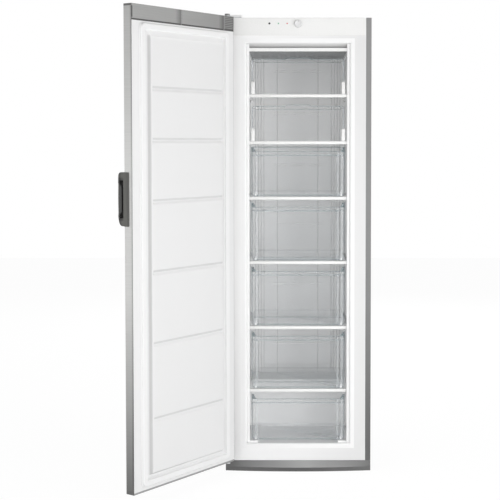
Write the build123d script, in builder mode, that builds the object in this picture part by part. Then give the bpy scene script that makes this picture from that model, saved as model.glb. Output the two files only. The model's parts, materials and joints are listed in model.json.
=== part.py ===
from build123d import *
import os

# Upright freezer, door standing open. Millimetres; +X right, +Y to the back, +Z up.
# The origin is on the floor, mid-width, in the plane of the cabinet's front frame.

# Cabinet
cabinet_width = 595.0
cabinet_height = 1854.0
cabinet_depth = 600.0
sheet = 0.8  # thickness of the outer steel sheets
front_return = 22.0  # grey return of each side sheet on the front face
skirt_bottom = 16.0  # lowest edge of the side sheets
floor_panel_bottom = 43.0
panel_sheet = 1.0  # front frame, bottom panel and back panel
control_height = 71.0
control_depth = 44.0
control_wall = 2.5
top_gap = 0.2  # joint between the control panel and its neighbours

# Cavity and liner
cavity_width = 420.0
cavity_floor = 113.0
ceiling_wall = 103.0  # from the cabinet's top down to the cavity's ceiling
back_wall = 70.0  # from the cavity's back to the cabinet's
liner_wall = 2.5
lip_width = 20.0
lip_depth = 12.0
lip_round = 8.0
step_front = 300.0  # the cavity floor steps up here, over the machine room
step_top = 318.0
step_insulation = 58.0
roof_insulation = 60.0
rib_reach = 10.0  # side ribs that carry the shelves
rib_height = 10.0
runner_height = 8.0  # runners under the lowest drawer

# Machine room
deck_bottom = 28.0
deck_sheet = 2.0

# Base
rail_width = 32.0
rail_bottom = 14.0
rail_wall = 1.5
hinge_recess = 84.0  # length of the rail that leaves room for a bottom hinge
foot_inset_x = 17.0  # from the cabinet side to the foot's centre
foot_inset_y = 50.0
foot_pad_radius = 15.0
foot_pad_height = 8.0
foot_stem_radius = 5.0
foot_travel = 10.0
thread_clearance = 0.08
roller_radius = 18.0
roller_width = 20.0
roller_inset_y = 40.0
axle_radius = 4.0
running_clearance = 0.06
plinth_bow = 19.0
plinth_bottom = 3.0
plinth_break = 17.0  # height where the sloping face meets the darker kick band
plinth_wall = 2.5
plinth_undercut = 3.0
plinth_back = 7.0

# Shelves
upper_rooms = (187.0, 191.0, 227.0, 264.0)  # heights of the compartments, from the ceiling guide down
lower_rooms = (223.0, 260.0)  # from the cavity's floor up; the one between takes the rest
trim_height = 13.0
trim_front = 14.0
trim_depth = 20.0
trim_half = 203.0
glass_thickness = 4.0
glass_half = 208.0
glass_drop = 1.5  # the glass lies this far below the trim's top
guide_drop = 18.0  # ceiling guide's top below the ceiling
guide_thickness = 3.0
vent_length = 30.0
vent_width = 8.0
rib_front = 40.0
shelf_back_gap = 2.0

# Flaps
flap_height = 142.0
flap_wall = 3.0
flap_half = 188.0
flap_front = 20.0
flap_pivot_up = 10.0
flap_pivot_y = 20.5
flap_pin_radius = 3.0
flap_hub_radius = 4.5
flap_hub = 6.0  # length of each hub
flap_lip = 9.0
flap_rim = 12.0
grip_width = 100.0
grip_height = 6.0
bracket_inner = 177.0
bracket_width = 14.0
bracket_height = 50.0
bracket_depth = 14.0

# Drawers
drawer_half = 194.0
drawer_front = 18.0
drawer_back_gap = 12.0
drawer_wall = 2.4
drawer_front_wall = 3.2
drawer_round = 18.0
drawer_base_round = 7.0
drawer_foot = 0.5  # clearance under the drawer
hand_gap = 30.0  # from the trim above down to the front's rim
side_gap = 12.0  # from the trim above down to the side walls
rim_height = 14.0
rim_reach = 3.0
wing_width = 36.0
drawer_travel = 330.0
short_drawer_travel = 200.0
step_clearance = 10.0

# Door
door_gap = 12.0  # between the cabinet's front and the door's inner plane
door_thickness = 40.6
door_bottom = 50.5
door_top_strip = 60.0
door_cap = 3.0
cap_wall = 2.5
skin_round = 4.0
door_liner_wall = 2.0
panel_half = 206.0
panel_draft = 13.0
panel_rise = 16.0
panel_low = 120.0
panel_top_drop = 115.0  # from the cabinet's top down to the raised panel
panel_round = 14.0
groove_height = 12.0
groove_depth = 4.0
groove_half = 198.0
groove_rise = 2.0  # each groove lies this far above its shelf
lowest_groove_drop = 20.0
gasket_inner = 230.0
gasket_width = 30.0
gasket_low = 68.0
gasket_top_drop = 64.0
gasket_round = 5.0
gasket_clearance = 0.4
door_open = 125.6  # how far the door stands open
door_spare = 9.0  # further travel before the hinge stop

# Hinges
hinge_inset = 12.4  # pivot from the cabinet's side
hinge_forward = 34.0  # pivot in front of the cabinet
pin_radius = 4.0
pin_length = 14.0
pin_clearance = 0.06
bush_radius = 7.0
bush_length = 20.0
hinge_plate = 3.0
hinge_lift = 2.0
hinge_nose = 9.0
hinge_arm = 20.0
hinge_plate_width = 64.0
hinge_plate_back = 74.0
hinge_plate_front = 10.0
cover_height = 12.0
cover_wall = 1.5
lower_plate = 4.0

# Handle
handle_low = 1038.0
handle_high = 1237.0
handle_reach = 30.0  # in front of the door's face
handle_bar = 7.0
handle_foot = 25.0  # how far the side plate covers the door's edge
handle_plate = 3.5
handle_width = 28.0
handle_slot_low = 1070.0
handle_slot_high = 1205.0
handle_round = 8.0
handle_gap = 0.3

# Controls
knob_radius = 16.0
knob_height = 10.0
knob_drop = 24.5  # below the cabinet's top
knob_round = 2.0
knob_mark = 2.4
knob_shaft_radius = 3.0
button_x = -116.5
button_drop = 23.0
button_radius = 4.0
button_travel = 2.0
button_proud = 3.0
light_xs = (-80.0, -44.7)
light_radius = 2.2
board_width = 210.0
board_height = 44.0
board_thickness = 1.6
board_y = 24.0
board_x = -40.0
board_drop = 10.5  # board's middle below the knob's axis
post_radius = 3.0
post_inset = 6.0
pot_radius = 9.0  # the knob's control on the board
pot_height = 6.0
chip_xs = ((-60.0, -30.0), (20.0, 50.0))
chip_drop = 4.0  # behind the board, short of the foam

# Cooling
duct_space = 70.0  # room for the coil and the fan behind the duct cover
duct_wall = 3.0
duct_half = 206.0
duct_raise = 6.0
duct_channel_half = 152.0
duct_channel_end = 30.0
duct_inlet_radius = 22.0
duct_slot = (60.0, 5.0)
duct_slot_pitch = (80.0, 10.0)
duct_slot_rise = 120.0  # above each shelf
coil_low = 372.0
coil_high = 620.0
coil_half = 175.0
coil_gap = 14.0  # behind the duct cover's front
coil_end_gap = 4.0
coil_end_plate = 2.0
coil_tube_inset = 11.0
coil_depth = 44.0
fin_thickness = 1.0
fin_count = 30
coil_tube_radius = 4.5
coil_rows = 5
fan_z = 745.0
fan_radius = 52.0
fan_clearance = 4.0
fan_wall = 3.0
fan_housing_gap = 8.0
fan_housing_depth = 34.0
fan_motor_radius = 20.0
fan_shaft_radius = 2.0
fan_motor_length = 16.0
fan_hub_radius = 16.0
fan_hub_length = 7.0
fan_blades = 5
blade_width = 22.0
blade_thickness = 2.5
spoke_width = 10.0
spoke_depth = 4.0
ear_reach = 30.0
ear_thickness = 3.0
heater_radius = 4.0
heater_drop = 9.0
heater_inset = 8.0
trough_height = 26.0
trough_gap = 6.0
drain_x = 60.0
drain_end = 252.0
drain_radius = 8.0
drain_wall = 1.5
compressor_x = -70.0
compressor_inset = 124.0  # its middle from the cabinet's back
compressor_radius = 78.0
compressor_height = 150.0
compressor_base = 46.0
compressor_crown = 44.0
compressor_chamfer = 16.0
seam_reach = 3.0
seam_height = 4.0
foot_plate = 3.0
foot_plate_margin = (16.0, 14.0)
relay_width = 34.0
relay_depth = 64.0
relay_height = 62.0
relay_lift = 14.0
relay_round = 8.0
grommet_spread = (140.0, 150.0)
grommet_radius = 11.0
grommet_neck = 6.8
pan_gap = 30.0  # above the compressor's crown
pan_height = 22.0
pan_wall = 2.0
pan_reach = ((-100.0, 150.0), (-85.0, 100.0))  # from the compressor's middle
pan_post = 60.0
condenser_gap = 8.5  # the tube's middle behind the cabinet
condenser_tube_radius = 2.5
condenser_half = 225.0
condenser_low = 420.0
condenser_pitch = 60.0
condenser_runs = 18
wire_radius = 0.8
wire_pitch = 22.0
wire_count = 21
wire_overhang = 12.0
wire_seat = 0.1
clip_width = 20.0
clip_height = 18.0
clip_inset = 40.0
spacer_reach = 15.0
spacer_size = 40.0
spacer_x = 205.0
spacer_drop = 144.0
spacer_round = 4.0
deck_gap = 4.0
deck_flange = 14.0
gland_plate = (44.0, 60.0)
gland_length = 16.0
gland_rim = 3.0
gland_rim_length = 4.0
gland_clearance = 0.2
seat = 0.3  # gap between pieces that touch
discharge_up = 60.0
drier_up = 80.0
drier_inset = 50.0
drier_chamfer = 3.0
line_shift = 14.0
capillary_radius = 1.2
capillary_run = 30.0
suction_radius = 4.0
suction_run = 25.0
lead_x = 255.0  # down-leads of the condenser
lead_round = 18.0
drier_length = 90.0
drier_radius = 9.0
gland_x = 190.0
gland_up = 40.0
gland_radius = 9.0
cord_radius = 4.0
screw_radius = 2.5
screw_head = 5.0
screw_head_height = 3.0
screw_length = 12.0

cavity_ceiling = cabinet_height - ceiling_wall
cavity_depth = cabinet_depth - back_wall
room_front = step_front + step_insulation
room_roof = step_top - roof_insulation
guide_top = cavity_ceiling - guide_drop
half_width = cabinet_width / 2
cavity_half = cavity_width / 2
frame_half = half_width - front_return
control_bottom = cabinet_height - control_height
door_inner = -door_gap
door_outer = door_inner - door_thickness
pivot_x = hinge_inset - half_width
pivot_y = -hinge_forward
pivot = Axis((pivot_x, pivot_y, 0), (0, 0, 1))
hole_radius = pin_radius + pin_clearance
foot_x = half_width - foot_inset_x
roller_y = cabinet_depth - roller_inset_y
rail_inner = half_width - sheet - rail_width
rail_outer = half_width - sheet
rail_front = 9.0
back_face = cabinet_depth - panel_sheet
knob_z = cabinet_height - knob_drop
button_z = cabinet_height - button_drop
panel_high = cabinet_height - panel_top_drop
gasket_high = cabinet_height - gasket_top_drop
duct_front = cavity_depth - duct_space
drawer_back = duct_front - drawer_back_gap
coil_front = duct_front + coil_gap
fan_housing_front = duct_front + fan_housing_gap
compressor_y = cabinet_depth - compressor_inset
condenser_y = cabinet_depth + condenser_gap
shelf_tops = [guide_top - sum(upper_rooms[: count + 1]) for count in range(len(upper_rooms))]
shelf_tops += [cavity_floor + sum(lower_rooms), cavity_floor + lower_rooms[0]]
groove_levels = [top + groove_rise for top in shelf_tops[:-1]] + [shelf_tops[-1] - lowest_groove_drop]
glass_back = duct_front - duct_raise - shelf_back_gap
plate_x = (2 - half_width, 2 - half_width + hinge_plate_width)
seat_y = (hinge_plate_front, hinge_plate_back)
hinge_screw_spots = [(x, y) for x in (plate_x[0] + 12, plate_x[1] - 12) for y in (seat_y[0] + 14, seat_y[1] - 14)]
lower_screw_x = -(rail_inner + rail_outer) / 2
lower_screw_spots = [(lower_screw_x, hinge_recess - 18), (lower_screw_x, hinge_recess - 6)]
trough_y = (coil_front - trough_gap, cavity_depth - coil_end_plate)
drain_y = (trough_y[0] + trough_y[1]) / 2
drain_outer = drain_radius + drain_wall
cap_x = half_width - sheet
cap_y = (door_outer + sheet, door_inner)

os.makedirs("parts", exist_ok=True)


def save(piece, name):
    piece.label = name
    export_step(piece, f"parts/{name}.step")


def save_door(piece, name):
    """The door's pieces are drawn closed, then swung open about the hinge pivot."""
    save(piece.rotate(pivot, -door_open), name)


def block(x_span, y_span, z_span, mode=Mode.ADD):
    """A box between two corners, joined to or cut from the part being built."""
    with BuildSketch(Plane.XY.offset(z_span[0])) as base:
        with Locations(((x_span[0] + x_span[1]) / 2, (y_span[0] + y_span[1]) / 2)):
            Rectangle(x_span[1] - x_span[0], y_span[1] - y_span[0])
    extrude(base.sketch, amount=z_span[1] - z_span[0], mode=mode)


def rod(origin, direction, radius, length, mode=Mode.ADD):
    """A round bar that starts at origin and runs along direction."""
    with BuildSketch(Plane(origin=origin, z_dir=direction)) as base:
        Circle(radius)
    extrude(base.sketch, amount=length, mode=mode)


def screw_hole(spot):
    """A hole for a top hinge screw, from the cabinet's top down."""
    rod((*spot, cabinet_height + 1), (0, 0, -1), screw_radius, screw_length + 1, Mode.SUBTRACT)


def profile(points, half_length, mode=Mode.ADD):
    """A side profile of (Y, Z) points, extruded to both sides of the middle."""
    with BuildSketch(Plane.YZ) as side:
        with BuildLine():
            Polyline(*points, close=True)
        make_face()
    extrude(side.sketch, amount=half_length, both=True, mode=mode)


def cavity_points(out):
    """The cavity's side profile, grown outwards by out, open at the front."""
    return (
        (-1.0 if out == 0 else 0.0, cavity_floor - out),
        (step_front + out, cavity_floor - out),
        (step_front + out, step_top - out),
        (cavity_depth + out, step_top - out),
        (cavity_depth + out, cavity_ceiling + out),
        (-1.0 if out == 0 else 0.0, cavity_ceiling + out),
    )


# Outer sheets
with BuildPart() as cabinet_shell:
    block((-half_width, half_width), (0, cabinet_depth), (skirt_bottom, cabinet_height))
    inner = half_width - sheet
    block((-inner, inner), (sheet, cabinet_depth), (skirt_bottom, cabinet_height - sheet), Mode.SUBTRACT)
    block((-frame_half, frame_half), (0, sheet), (skirt_bottom, cabinet_height), Mode.SUBTRACT)
    for side in (-1, 1):
        corner = sorted((side * frame_half, side * half_width))
        block(corner, (0, plinth_back), (skirt_bottom, floor_panel_bottom), Mode.SUBTRACT)
    block((-frame_half, frame_half), (0, control_depth + top_gap), (control_bottom, cabinet_height), Mode.SUBTRACT)
    for spot in hinge_screw_spots:
        screw_hole(spot)
save(cabinet_shell.part, "cabinet_shell")

with BuildPart() as back_panel:
    back_half = half_width - sheet
    block((-back_half, back_half), (back_face, cabinet_depth), (room_roof, cabinet_height - sheet))
save(back_panel.part, "back_panel")

with BuildPart() as bottom_panel:
    low, roof = floor_panel_bottom, room_roof
    profile(
        (
            (panel_sheet, low),
            (room_front, low),
            (room_front, roof - panel_sheet),
            (back_face, roof - panel_sheet),
            (back_face, roof),
            (room_front - panel_sheet, roof),
            (room_front - panel_sheet, low + panel_sheet),
            (panel_sheet, low + panel_sheet),
        ),
        half_width - sheet,
    )
    rod((drain_x, drain_y, roof + 1), (0, 0, -1), drain_outer, 4, Mode.SUBTRACT)
save(bottom_panel.part, "bottom_panel")

with BuildPart() as front_frame:
    lip_half = cavity_half + lip_width
    block((-frame_half, frame_half), (0, panel_sheet), (floor_panel_bottom, control_bottom - top_gap))
    opening_z = (cavity_floor - lip_width, cavity_ceiling + lip_width)
    block((-lip_half, lip_half), (0, panel_sheet), opening_z, Mode.SUBTRACT)
save(front_frame.part, "front_frame")

with BuildPart() as cabinet_liner:
    block((-lip_half, lip_half), (0, lip_depth), opening_z)
    profile(cavity_points(liner_wall), cavity_half + liner_wall)
    profile(cavity_points(0), cavity_half, Mode.SUBTRACT)
    for top in shelf_tops:
        rib_top = top - glass_drop - glass_thickness
        for side in (-1, 1):
            rib_x = sorted((side * cavity_half, side * (cavity_half - rib_reach)))
            block(rib_x, (rib_front, glass_back), (rib_top - rib_height, rib_top))
    guide_rib = guide_top - trim_height
    for side in (-1, 1):
        rib_x = sorted((side * cavity_half, side * (cavity_half - rib_reach)))
        block(rib_x, (rib_front, glass_back), (guide_rib - rib_height, guide_rib))
        pad_x = sorted((side * (cavity_half - 8), side * (cavity_half - 46)))
        block(pad_x, (trim_front, step_front - 20), (cavity_floor, cavity_floor + runner_height))
    rod((drain_x, drain_y, step_top + 1), (0, 0, -1), drain_outer, liner_wall + 2, Mode.SUBTRACT)
    mouth = cabinet_liner.edges().filter_by(
        lambda edge: abs(edge.center().Y) < 0.01
        and abs(edge.center().X) < cavity_half + 0.1
        and cavity_floor - 0.1 < edge.center().Z < cavity_ceiling + 0.1
    )
    fillet(mouth, lip_round)
save(cabinet_liner.part, "cabinet_liner")

with BuildPart() as cabinet_foam:
    foam_top = cabinet_height - sheet
    profile(
        (
            (panel_sheet, floor_panel_bottom + panel_sheet),
            (room_front - panel_sheet, floor_panel_bottom + panel_sheet),
            (room_front - panel_sheet, room_roof),
            (back_face, room_roof),
            (back_face, foam_top),
            (panel_sheet, foam_top),
        ),
        half_width - sheet,
    )
    profile(cavity_points(liner_wall), cavity_half + liner_wall, Mode.SUBTRACT)
    block((-lip_half, lip_half), (0, lip_depth), opening_z, Mode.SUBTRACT)
    block((-frame_half, frame_half), (0, control_depth), (control_bottom, foam_top), Mode.SUBTRACT)
    rod((drain_x, drain_y, room_roof), (0, 0, 1), drain_outer, step_top - room_roof, Mode.SUBTRACT)
    for spot in hinge_screw_spots:
        screw_hole(spot)
save(cabinet_foam.part, "cabinet_foam")

with BuildPart() as control_panel:
    panel_x = frame_half - top_gap / 2
    block((-panel_x, panel_x), (0, control_depth), (control_bottom, cabinet_height))
    inner_x = panel_x - control_wall
    inner_z = (control_bottom + control_wall, cabinet_height - control_wall)
    block((-inner_x, inner_x), (control_wall, control_depth), inner_z, Mode.SUBTRACT)
    rod((0, -1, knob_z), (0, 1, 0), knob_shaft_radius + running_clearance, control_wall + 2, Mode.SUBTRACT)
    rod((button_x, -1, button_z), (0, 1, 0), button_radius + pin_clearance, control_wall + 2, Mode.SUBTRACT)
    for light_x in light_xs:
        rod((light_x, -1, button_z), (0, 1, 0), light_radius, control_wall + 2, Mode.SUBTRACT)
    front_edges = control_panel.edges().filter_by(Axis.X).group_by(Axis.Y)[0]
    fillet(front_edges.sort_by(Axis.Z)[-1], 2)
    for spot in hinge_screw_spots:
        screw_hole(spot)
save(control_panel.part, "control_panel")

# Controls: the knob's shaft and the button's stem reach the board behind the panel
with BuildPart() as control_knob:
    rod((0, -seat, knob_z), (0, -1, 0), knob_radius, knob_height)
    fillet(control_knob.edges().filter_by(GeomType.CIRCLE).group_by(Axis.Y)[0], knob_round)
    rod((0, -seat, knob_z), (0, 1, 0), knob_shaft_radius, board_y)
    front_y = -seat - knob_height
    mark_x = (-knob_mark / 2, knob_mark / 2)
    block(mark_x, (front_y - 1, front_y + 1), (knob_z + knob_shaft_radius, knob_z + knob_radius), Mode.SUBTRACT)
save(control_knob.part, "control_knob")

with BuildPart() as alarm_button:
    stem = board_y - button_travel - 4
    rod((button_x, -button_proud, button_z), (0, 1, 0), button_radius, button_proud + stem)
    rod((button_x, control_wall + 0.3, button_z), (0, 1, 0), button_radius + 2, 2)
    fillet(alarm_button.edges().filter_by(GeomType.CIRCLE).sort_by(Axis.Y)[0], 1)
save(alarm_button.part, "alarm_button")

for light_name, light_x in zip(("power_light", "alarm_light"), light_xs):
    with BuildPart() as light:
        rod((light_x, -0.6, button_z), (0, 1, 0), light_radius, board_y + 0.6)
        fillet(light.edges().filter_by(GeomType.CIRCLE).sort_by(Axis.Y)[0], 0.5)
    save(light.part, light_name)

with BuildPart() as control_board:
    board_half = board_width / 2
    board_middle = knob_z - board_drop
    board_z = (board_middle - board_height / 2, board_middle + board_height / 2)
    block((board_x - board_half, board_x + board_half), (board_y, board_y + board_thickness), board_z)
    rod((0, board_y - pot_height, knob_z), (0, 1, 0), pot_radius, pot_height)
    rod((0, board_y - pot_height - 1, knob_z), (0, 1, 0), knob_shaft_radius + running_clearance, 20, Mode.SUBTRACT)
    for corner_x in (board_x - board_half + post_inset, board_x + board_half - post_inset):
        rod((corner_x, control_wall, board_z[0] + post_inset), (0, 1, 0), post_radius, board_y - control_wall)
    for chip_x in chip_xs:
        chip_y = (board_y + board_thickness, control_depth - chip_drop)
        block(chip_x, chip_y, (board_z[0] + post_inset, board_middle))
    switch_y = (board_y - button_travel - 1.5, board_y)
    switch_half = button_radius
    block((button_x - switch_half, button_x + switch_half), switch_y, (button_z - switch_half, button_z + switch_half))
save(control_board.part, "control_board")

# Shelves, the ceiling air guide and the flap brackets
with BuildPart() as glass_shelves:
    for top in shelf_tops:
        glass_top = top - glass_drop
        block((-glass_half, glass_half), (trim_front + 6, glass_back), (glass_top - glass_thickness, glass_top))
save(glass_shelves.part, "glass_shelves")


def add_trim(top, slot_thickness, slot_drop):
    """A front bar with a slot in its back for the edge of the plate it covers."""
    block((-trim_half, trim_half), (trim_front, trim_front + trim_depth), (top - trim_height, top))
    slot_z = (top - slot_drop - slot_thickness, top - slot_drop)
    block((-trim_half, trim_half), (trim_front + 6, trim_front + trim_depth), slot_z, Mode.SUBTRACT)


with BuildPart() as shelf_trims:
    for top in shelf_tops:
        add_trim(top, glass_thickness, glass_drop)
    fillet(shelf_trims.edges().filter_by(Axis.X).group_by(Axis.Y)[0], 1.2)
save(shelf_trims.part, "shelf_trims")

with BuildPart() as ceiling_guide:
    block((-trim_half, trim_half), (trim_front, trim_front + trim_depth), (guide_top - trim_height, guide_top))
    plate_z = (guide_top - trim_height, guide_top - trim_height + guide_thickness)
    block((-glass_half, glass_half), (trim_front + trim_depth, glass_back), plate_z)
    with BuildSketch(Plane.XY.offset(plate_z[0])) as vents:
        with Locations((0, glass_back * 2 / 3)):
            with GridLocations(vent_length + 10, vent_width + 12, 8, 3):
                SlotOverall(vent_length, vent_width)
    extrude(vents.sketch, amount=guide_thickness, mode=Mode.SUBTRACT)
save(ceiling_guide.part, "ceiling_guide")

flap_shelves = shelf_tops[:2]
with BuildPart() as flap_brackets:
    for top in flap_shelves:
        for side in (-1, 1):
            bracket_x = sorted((side * bracket_inner, side * (bracket_inner + bracket_width)))
            block(bracket_x, (trim_front, trim_front + bracket_depth), (top, top + bracket_height))
            pin_at = (side * (bracket_inner - 1), flap_pivot_y, top + flap_pivot_up)
            hole = flap_pin_radius + pin_clearance
            rod(pin_at, (side, 0, 0), hole, bracket_width - 3, Mode.SUBTRACT)
save(flap_brackets.part, "flap_brackets")

for name, top in zip(("upper_flap", "lower_flap"), flap_shelves):
    with BuildPart() as flap:
        flap_top = top + flap_height
        flap_y = (flap_front, flap_front + flap_wall)
        block((-flap_half, flap_half), flap_y, (top + bracket_height + 4, flap_top))
        body_half = bracket_inner - 1
        block((-body_half, body_half), flap_y, (top + 4.5, flap_top))
        block((-grip_width / 2, grip_width / 2), flap_y, (flap_top, flap_top + grip_height))
        lip_y = (flap_y[1], flap_y[1] + flap_lip)
        block((-flap_half, flap_half), lip_y, (flap_top - flap_rim, flap_top - flap_rim + 2))
        block((-flap_half, flap_half), lip_y, (flap_top - 2, flap_top))
        for side in (-1, 1):
            hub_at = (side * (body_half - flap_hub), flap_pivot_y, top + flap_pivot_up)
            rod(hub_at, (side, 0, 0), flap_hub_radius, flap_hub)
            rod(hub_at, (side, 0, 0), flap_pin_radius, flap_hub + bracket_width - 4)
        corners = flap.edges().filter_by(Axis.Y).sort_by(Axis.Z)[-2:]
        fillet(corners, grip_height * 0.8)
    save(flap.part, name)


def build_drawer(name, floor, ceiling, back):
    """A clear open box with a lower front, a rim along the front and raised corner wings."""
    bottom = floor + drawer_foot
    side_top = ceiling - side_gap
    front_top = ceiling - hand_gap
    with BuildPart() as drawer:
        middle_y = (drawer_front + back) / 2
        length = back - drawer_front
        with BuildSketch(Plane.XY.offset(bottom)) as outline:
            with Locations((0, middle_y)):
                RectangleRounded(2 * drawer_half, length, drawer_round)
        extrude(outline.sketch, amount=side_top - bottom)
        fillet(drawer.faces().sort_by(Axis.Z)[0].edges(), drawer_base_round)
        inner_y = (drawer_front + drawer_front_wall, back - drawer_wall)
        with BuildSketch(Plane.XY.offset(bottom + drawer_wall)) as hollow:
            with Locations((0, (inner_y[0] + inner_y[1]) / 2)):
                inner_round = drawer_round - drawer_wall
                RectangleRounded(2 * (drawer_half - drawer_wall), inner_y[1] - inner_y[0], inner_round)
        extrude(hollow.sketch, amount=side_top - bottom, mode=Mode.SUBTRACT)
        inner_floor = drawer.faces().filter_by(Plane.XY).sort_by(Axis.Z)[1]
        fillet(inner_floor.edges(), drawer_base_round - drawer_wall)
        wing = drawer_half - wing_width
        with BuildSketch(Plane.XZ.offset(-drawer_front + 1)) as dip:
            with BuildLine():
                Polyline(
                    (-wing, front_top),
                    (wing, front_top),
                    (wing + 12, side_top + 1),
                    (-wing - 12, side_top + 1),
                    close=True,
                )
            make_face()
        extrude(dip.sketch, amount=-drawer_round - 8, mode=Mode.SUBTRACT)
        rim_z = (front_top - rim_height, front_top)
        block((-wing, wing), (drawer_front - rim_reach, drawer_front + 1), rim_z)
        rail_z = (side_top - 6, side_top)
        for side in (-1, 1):
            rail_x = sorted((side * (drawer_half - 1), side * (drawer_half + 3)))
            block(rail_x, (drawer_front + drawer_round + 4, back - drawer_round), rail_z)
    save(drawer.part, name)


trim_under = [top - trim_height for top in shelf_tops]
drawer_floors = shelf_tops[2:] + [cavity_floor + runner_height]
drawer_ceilings = trim_under[1:]
for index, (floor, ceiling) in enumerate(zip(drawer_floors, drawer_ceilings), start=1):
    on_step = floor < step_top
    build_drawer(f"drawer_{index}", floor, ceiling, step_front - step_clearance if on_step else drawer_back)

# Base: rails with a cross bar, axles, the compressor deck, feet and rollers
with BuildPart() as base_frame:
    rail_top = floor_panel_bottom
    for side in (-1, 1):
        outer_x = sorted((side * rail_inner, side * rail_outer))
        inner_x = sorted((side * (rail_inner + rail_wall), side * (rail_outer - rail_wall)))
        low_top = rail_top - lower_plate
        recess_y = (rail_front, hinge_recess)
        block(outer_x, recess_y, (rail_bottom, low_top))
        block(outer_x, (hinge_recess, back_face), (rail_bottom, rail_top))
        hollow_y = (rail_front, back_face)
        block(inner_x, hollow_y, (rail_bottom, low_top - rail_wall), Mode.SUBTRACT)
        boss_y = (foot_inset_y - 10, foot_inset_y + 10)
        block(inner_x, boss_y, (rail_bottom + 8, rail_bottom + 18))
        foot_at = (side * foot_x, foot_inset_y, rail_bottom)
        rod(foot_at, (0, 0, 1), foot_stem_radius + thread_clearance, 23, Mode.SUBTRACT)
        rod((inner_x[0], roller_y, roller_radius), (1, 0, 0), axle_radius, inner_x[1] - inner_x[0])
    block((-rail_inner, rail_inner), (rail_front, rail_front + rail_wall), (rail_bottom, rail_top))
    block((-rail_inner, rail_inner), (rail_front, rail_front + 16), (rail_bottom, rail_bottom + rail_wall))
    for spot in lower_screw_spots:
        rod((*spot, rail_bottom + rail_wall), (0, 0, 1), screw_radius, rail_top, Mode.SUBTRACT)
save(base_frame.part, "base_frame")

with BuildPart() as compressor_deck:
    deck_top = deck_bottom + deck_sheet
    deck_front = room_front + deck_gap
    deck_back = back_face
    block((-rail_inner, rail_inner), (deck_front, deck_back), (deck_bottom, deck_top))
    block((-rail_inner, rail_inner), (deck_front, deck_front + deck_sheet), (deck_top, floor_panel_bottom))
    flange_y = (deck_back - deck_sheet, deck_back)
    block((-rail_inner, rail_inner), flange_y, (deck_top, deck_top + deck_flange))
    plate_half = gland_plate[0] / 2
    block((gland_x - plate_half, gland_x + plate_half), flange_y, (deck_top, deck_top + gland_plate[1]))
    gland_z = deck_top + gland_up
    rod((gland_x, deck_back - 6, gland_z), (0, 1, 0), gland_radius, 12, Mode.SUBTRACT)
save(compressor_deck.part, "compressor_deck")

for name, side in (("left_foot", -1), ("right_foot", 1)):
    with BuildPart() as foot:
        at = (side * foot_x, foot_inset_y, 0)
        rod(at, (0, 0, 1), foot_pad_radius, foot_pad_height)
        chamfer(foot.edges().filter_by(GeomType.CIRCLE), 1.2)
        rod((at[0], at[1], foot_pad_height), (0, 0, 1), foot_stem_radius, 28)
    save(foot.part, name)

for name, side in (("left_roller", -1), ("right_roller", 1)):
    with BuildPart() as roller:
        middle_x = side * (rail_inner + rail_outer) / 2
        start = (middle_x - roller_width / 2, roller_y, roller_radius)
        rod(start, (1, 0, 0), roller_radius, roller_width)
        chamfer(roller.edges().filter_by(GeomType.CIRCLE), 1.5)
        rod(start, (1, 0, 0), axle_radius + running_clearance, roller_width, Mode.SUBTRACT)
    save(roller.part, name)


def bow_outline(front_bow, inset, back):
    """Plan outline of the plinth: straight back and ends, front bowed forward by front_bow."""
    reach = half_width - inset
    with BuildSketch() as outline:
        with BuildLine():
            ThreePointArc((-reach, inset), (0, inset - front_bow), (reach, inset))
            Polyline((reach, inset), (reach, back), (-reach, back), (-reach, inset))
        make_face()
    return outline.sketch


with BuildPart() as plinth:
    top = floor_panel_bottom - 0.3
    brow = [bow_outline(2.0, 0.0, plinth_back), bow_outline(plinth_bow, 0.0, plinth_back)]
    loft([Pos(0, 0, top) * brow[0], Pos(0, 0, plinth_break) * brow[1]])
    kick = bow_outline(plinth_bow - plinth_undercut, plinth_undercut, plinth_back)
    extrude(Pos(0, 0, plinth_bottom) * kick, amount=plinth_break - plinth_bottom)
    hollow = [
        bow_outline(2.0, plinth_wall, plinth_back),
        bow_outline(plinth_bow - 3, plinth_wall, plinth_back),
    ]
    web_top = plinth_break + plinth_wall
    loft([Pos(0, 0, top - plinth_wall) * hollow[0], Pos(0, 0, web_top) * hollow[1]], mode=Mode.SUBTRACT)
    low_hollow = bow_outline(plinth_bow - plinth_undercut, plinth_undercut + plinth_wall, plinth_back)
    extrude(Pos(0, 0, plinth_bottom) * low_hollow, amount=web_top - plinth_bottom, mode=Mode.SUBTRACT)
    notch_x = (-half_width, -half_width + hinge_arm + 14)
    block(notch_x, (-plinth_bow, plinth_back), (top - lower_plate - 0.5, top + 1), Mode.SUBTRACT)
save(plinth.part, "plinth")

# Hinges: plates on the cabinet carry the pins, bushes in the door's caps turn on them
with BuildPart() as top_hinge:
    arm_x = (pivot_x - hinge_nose, pivot_x + hinge_nose)
    arm_low = cabinet_height + hinge_lift
    block(plate_x, seat_y, (cabinet_height, arm_low + hinge_plate))
    block(arm_x, (pivot_y, hinge_plate_front), (arm_low, arm_low + hinge_plate))
    rod((pivot_x, pivot_y, arm_low), (0, 0, 1), hinge_nose, hinge_plate)
    rod((pivot_x, pivot_y, arm_low), (0, 0, -1), pin_radius, pin_length + hinge_lift)
    for spot in hinge_screw_spots:
        rod((*spot, cabinet_height), (0, 0, 1), screw_radius, hinge_lift + hinge_plate, Mode.SUBTRACT)
save(top_hinge.part, "top_hinge")

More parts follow.
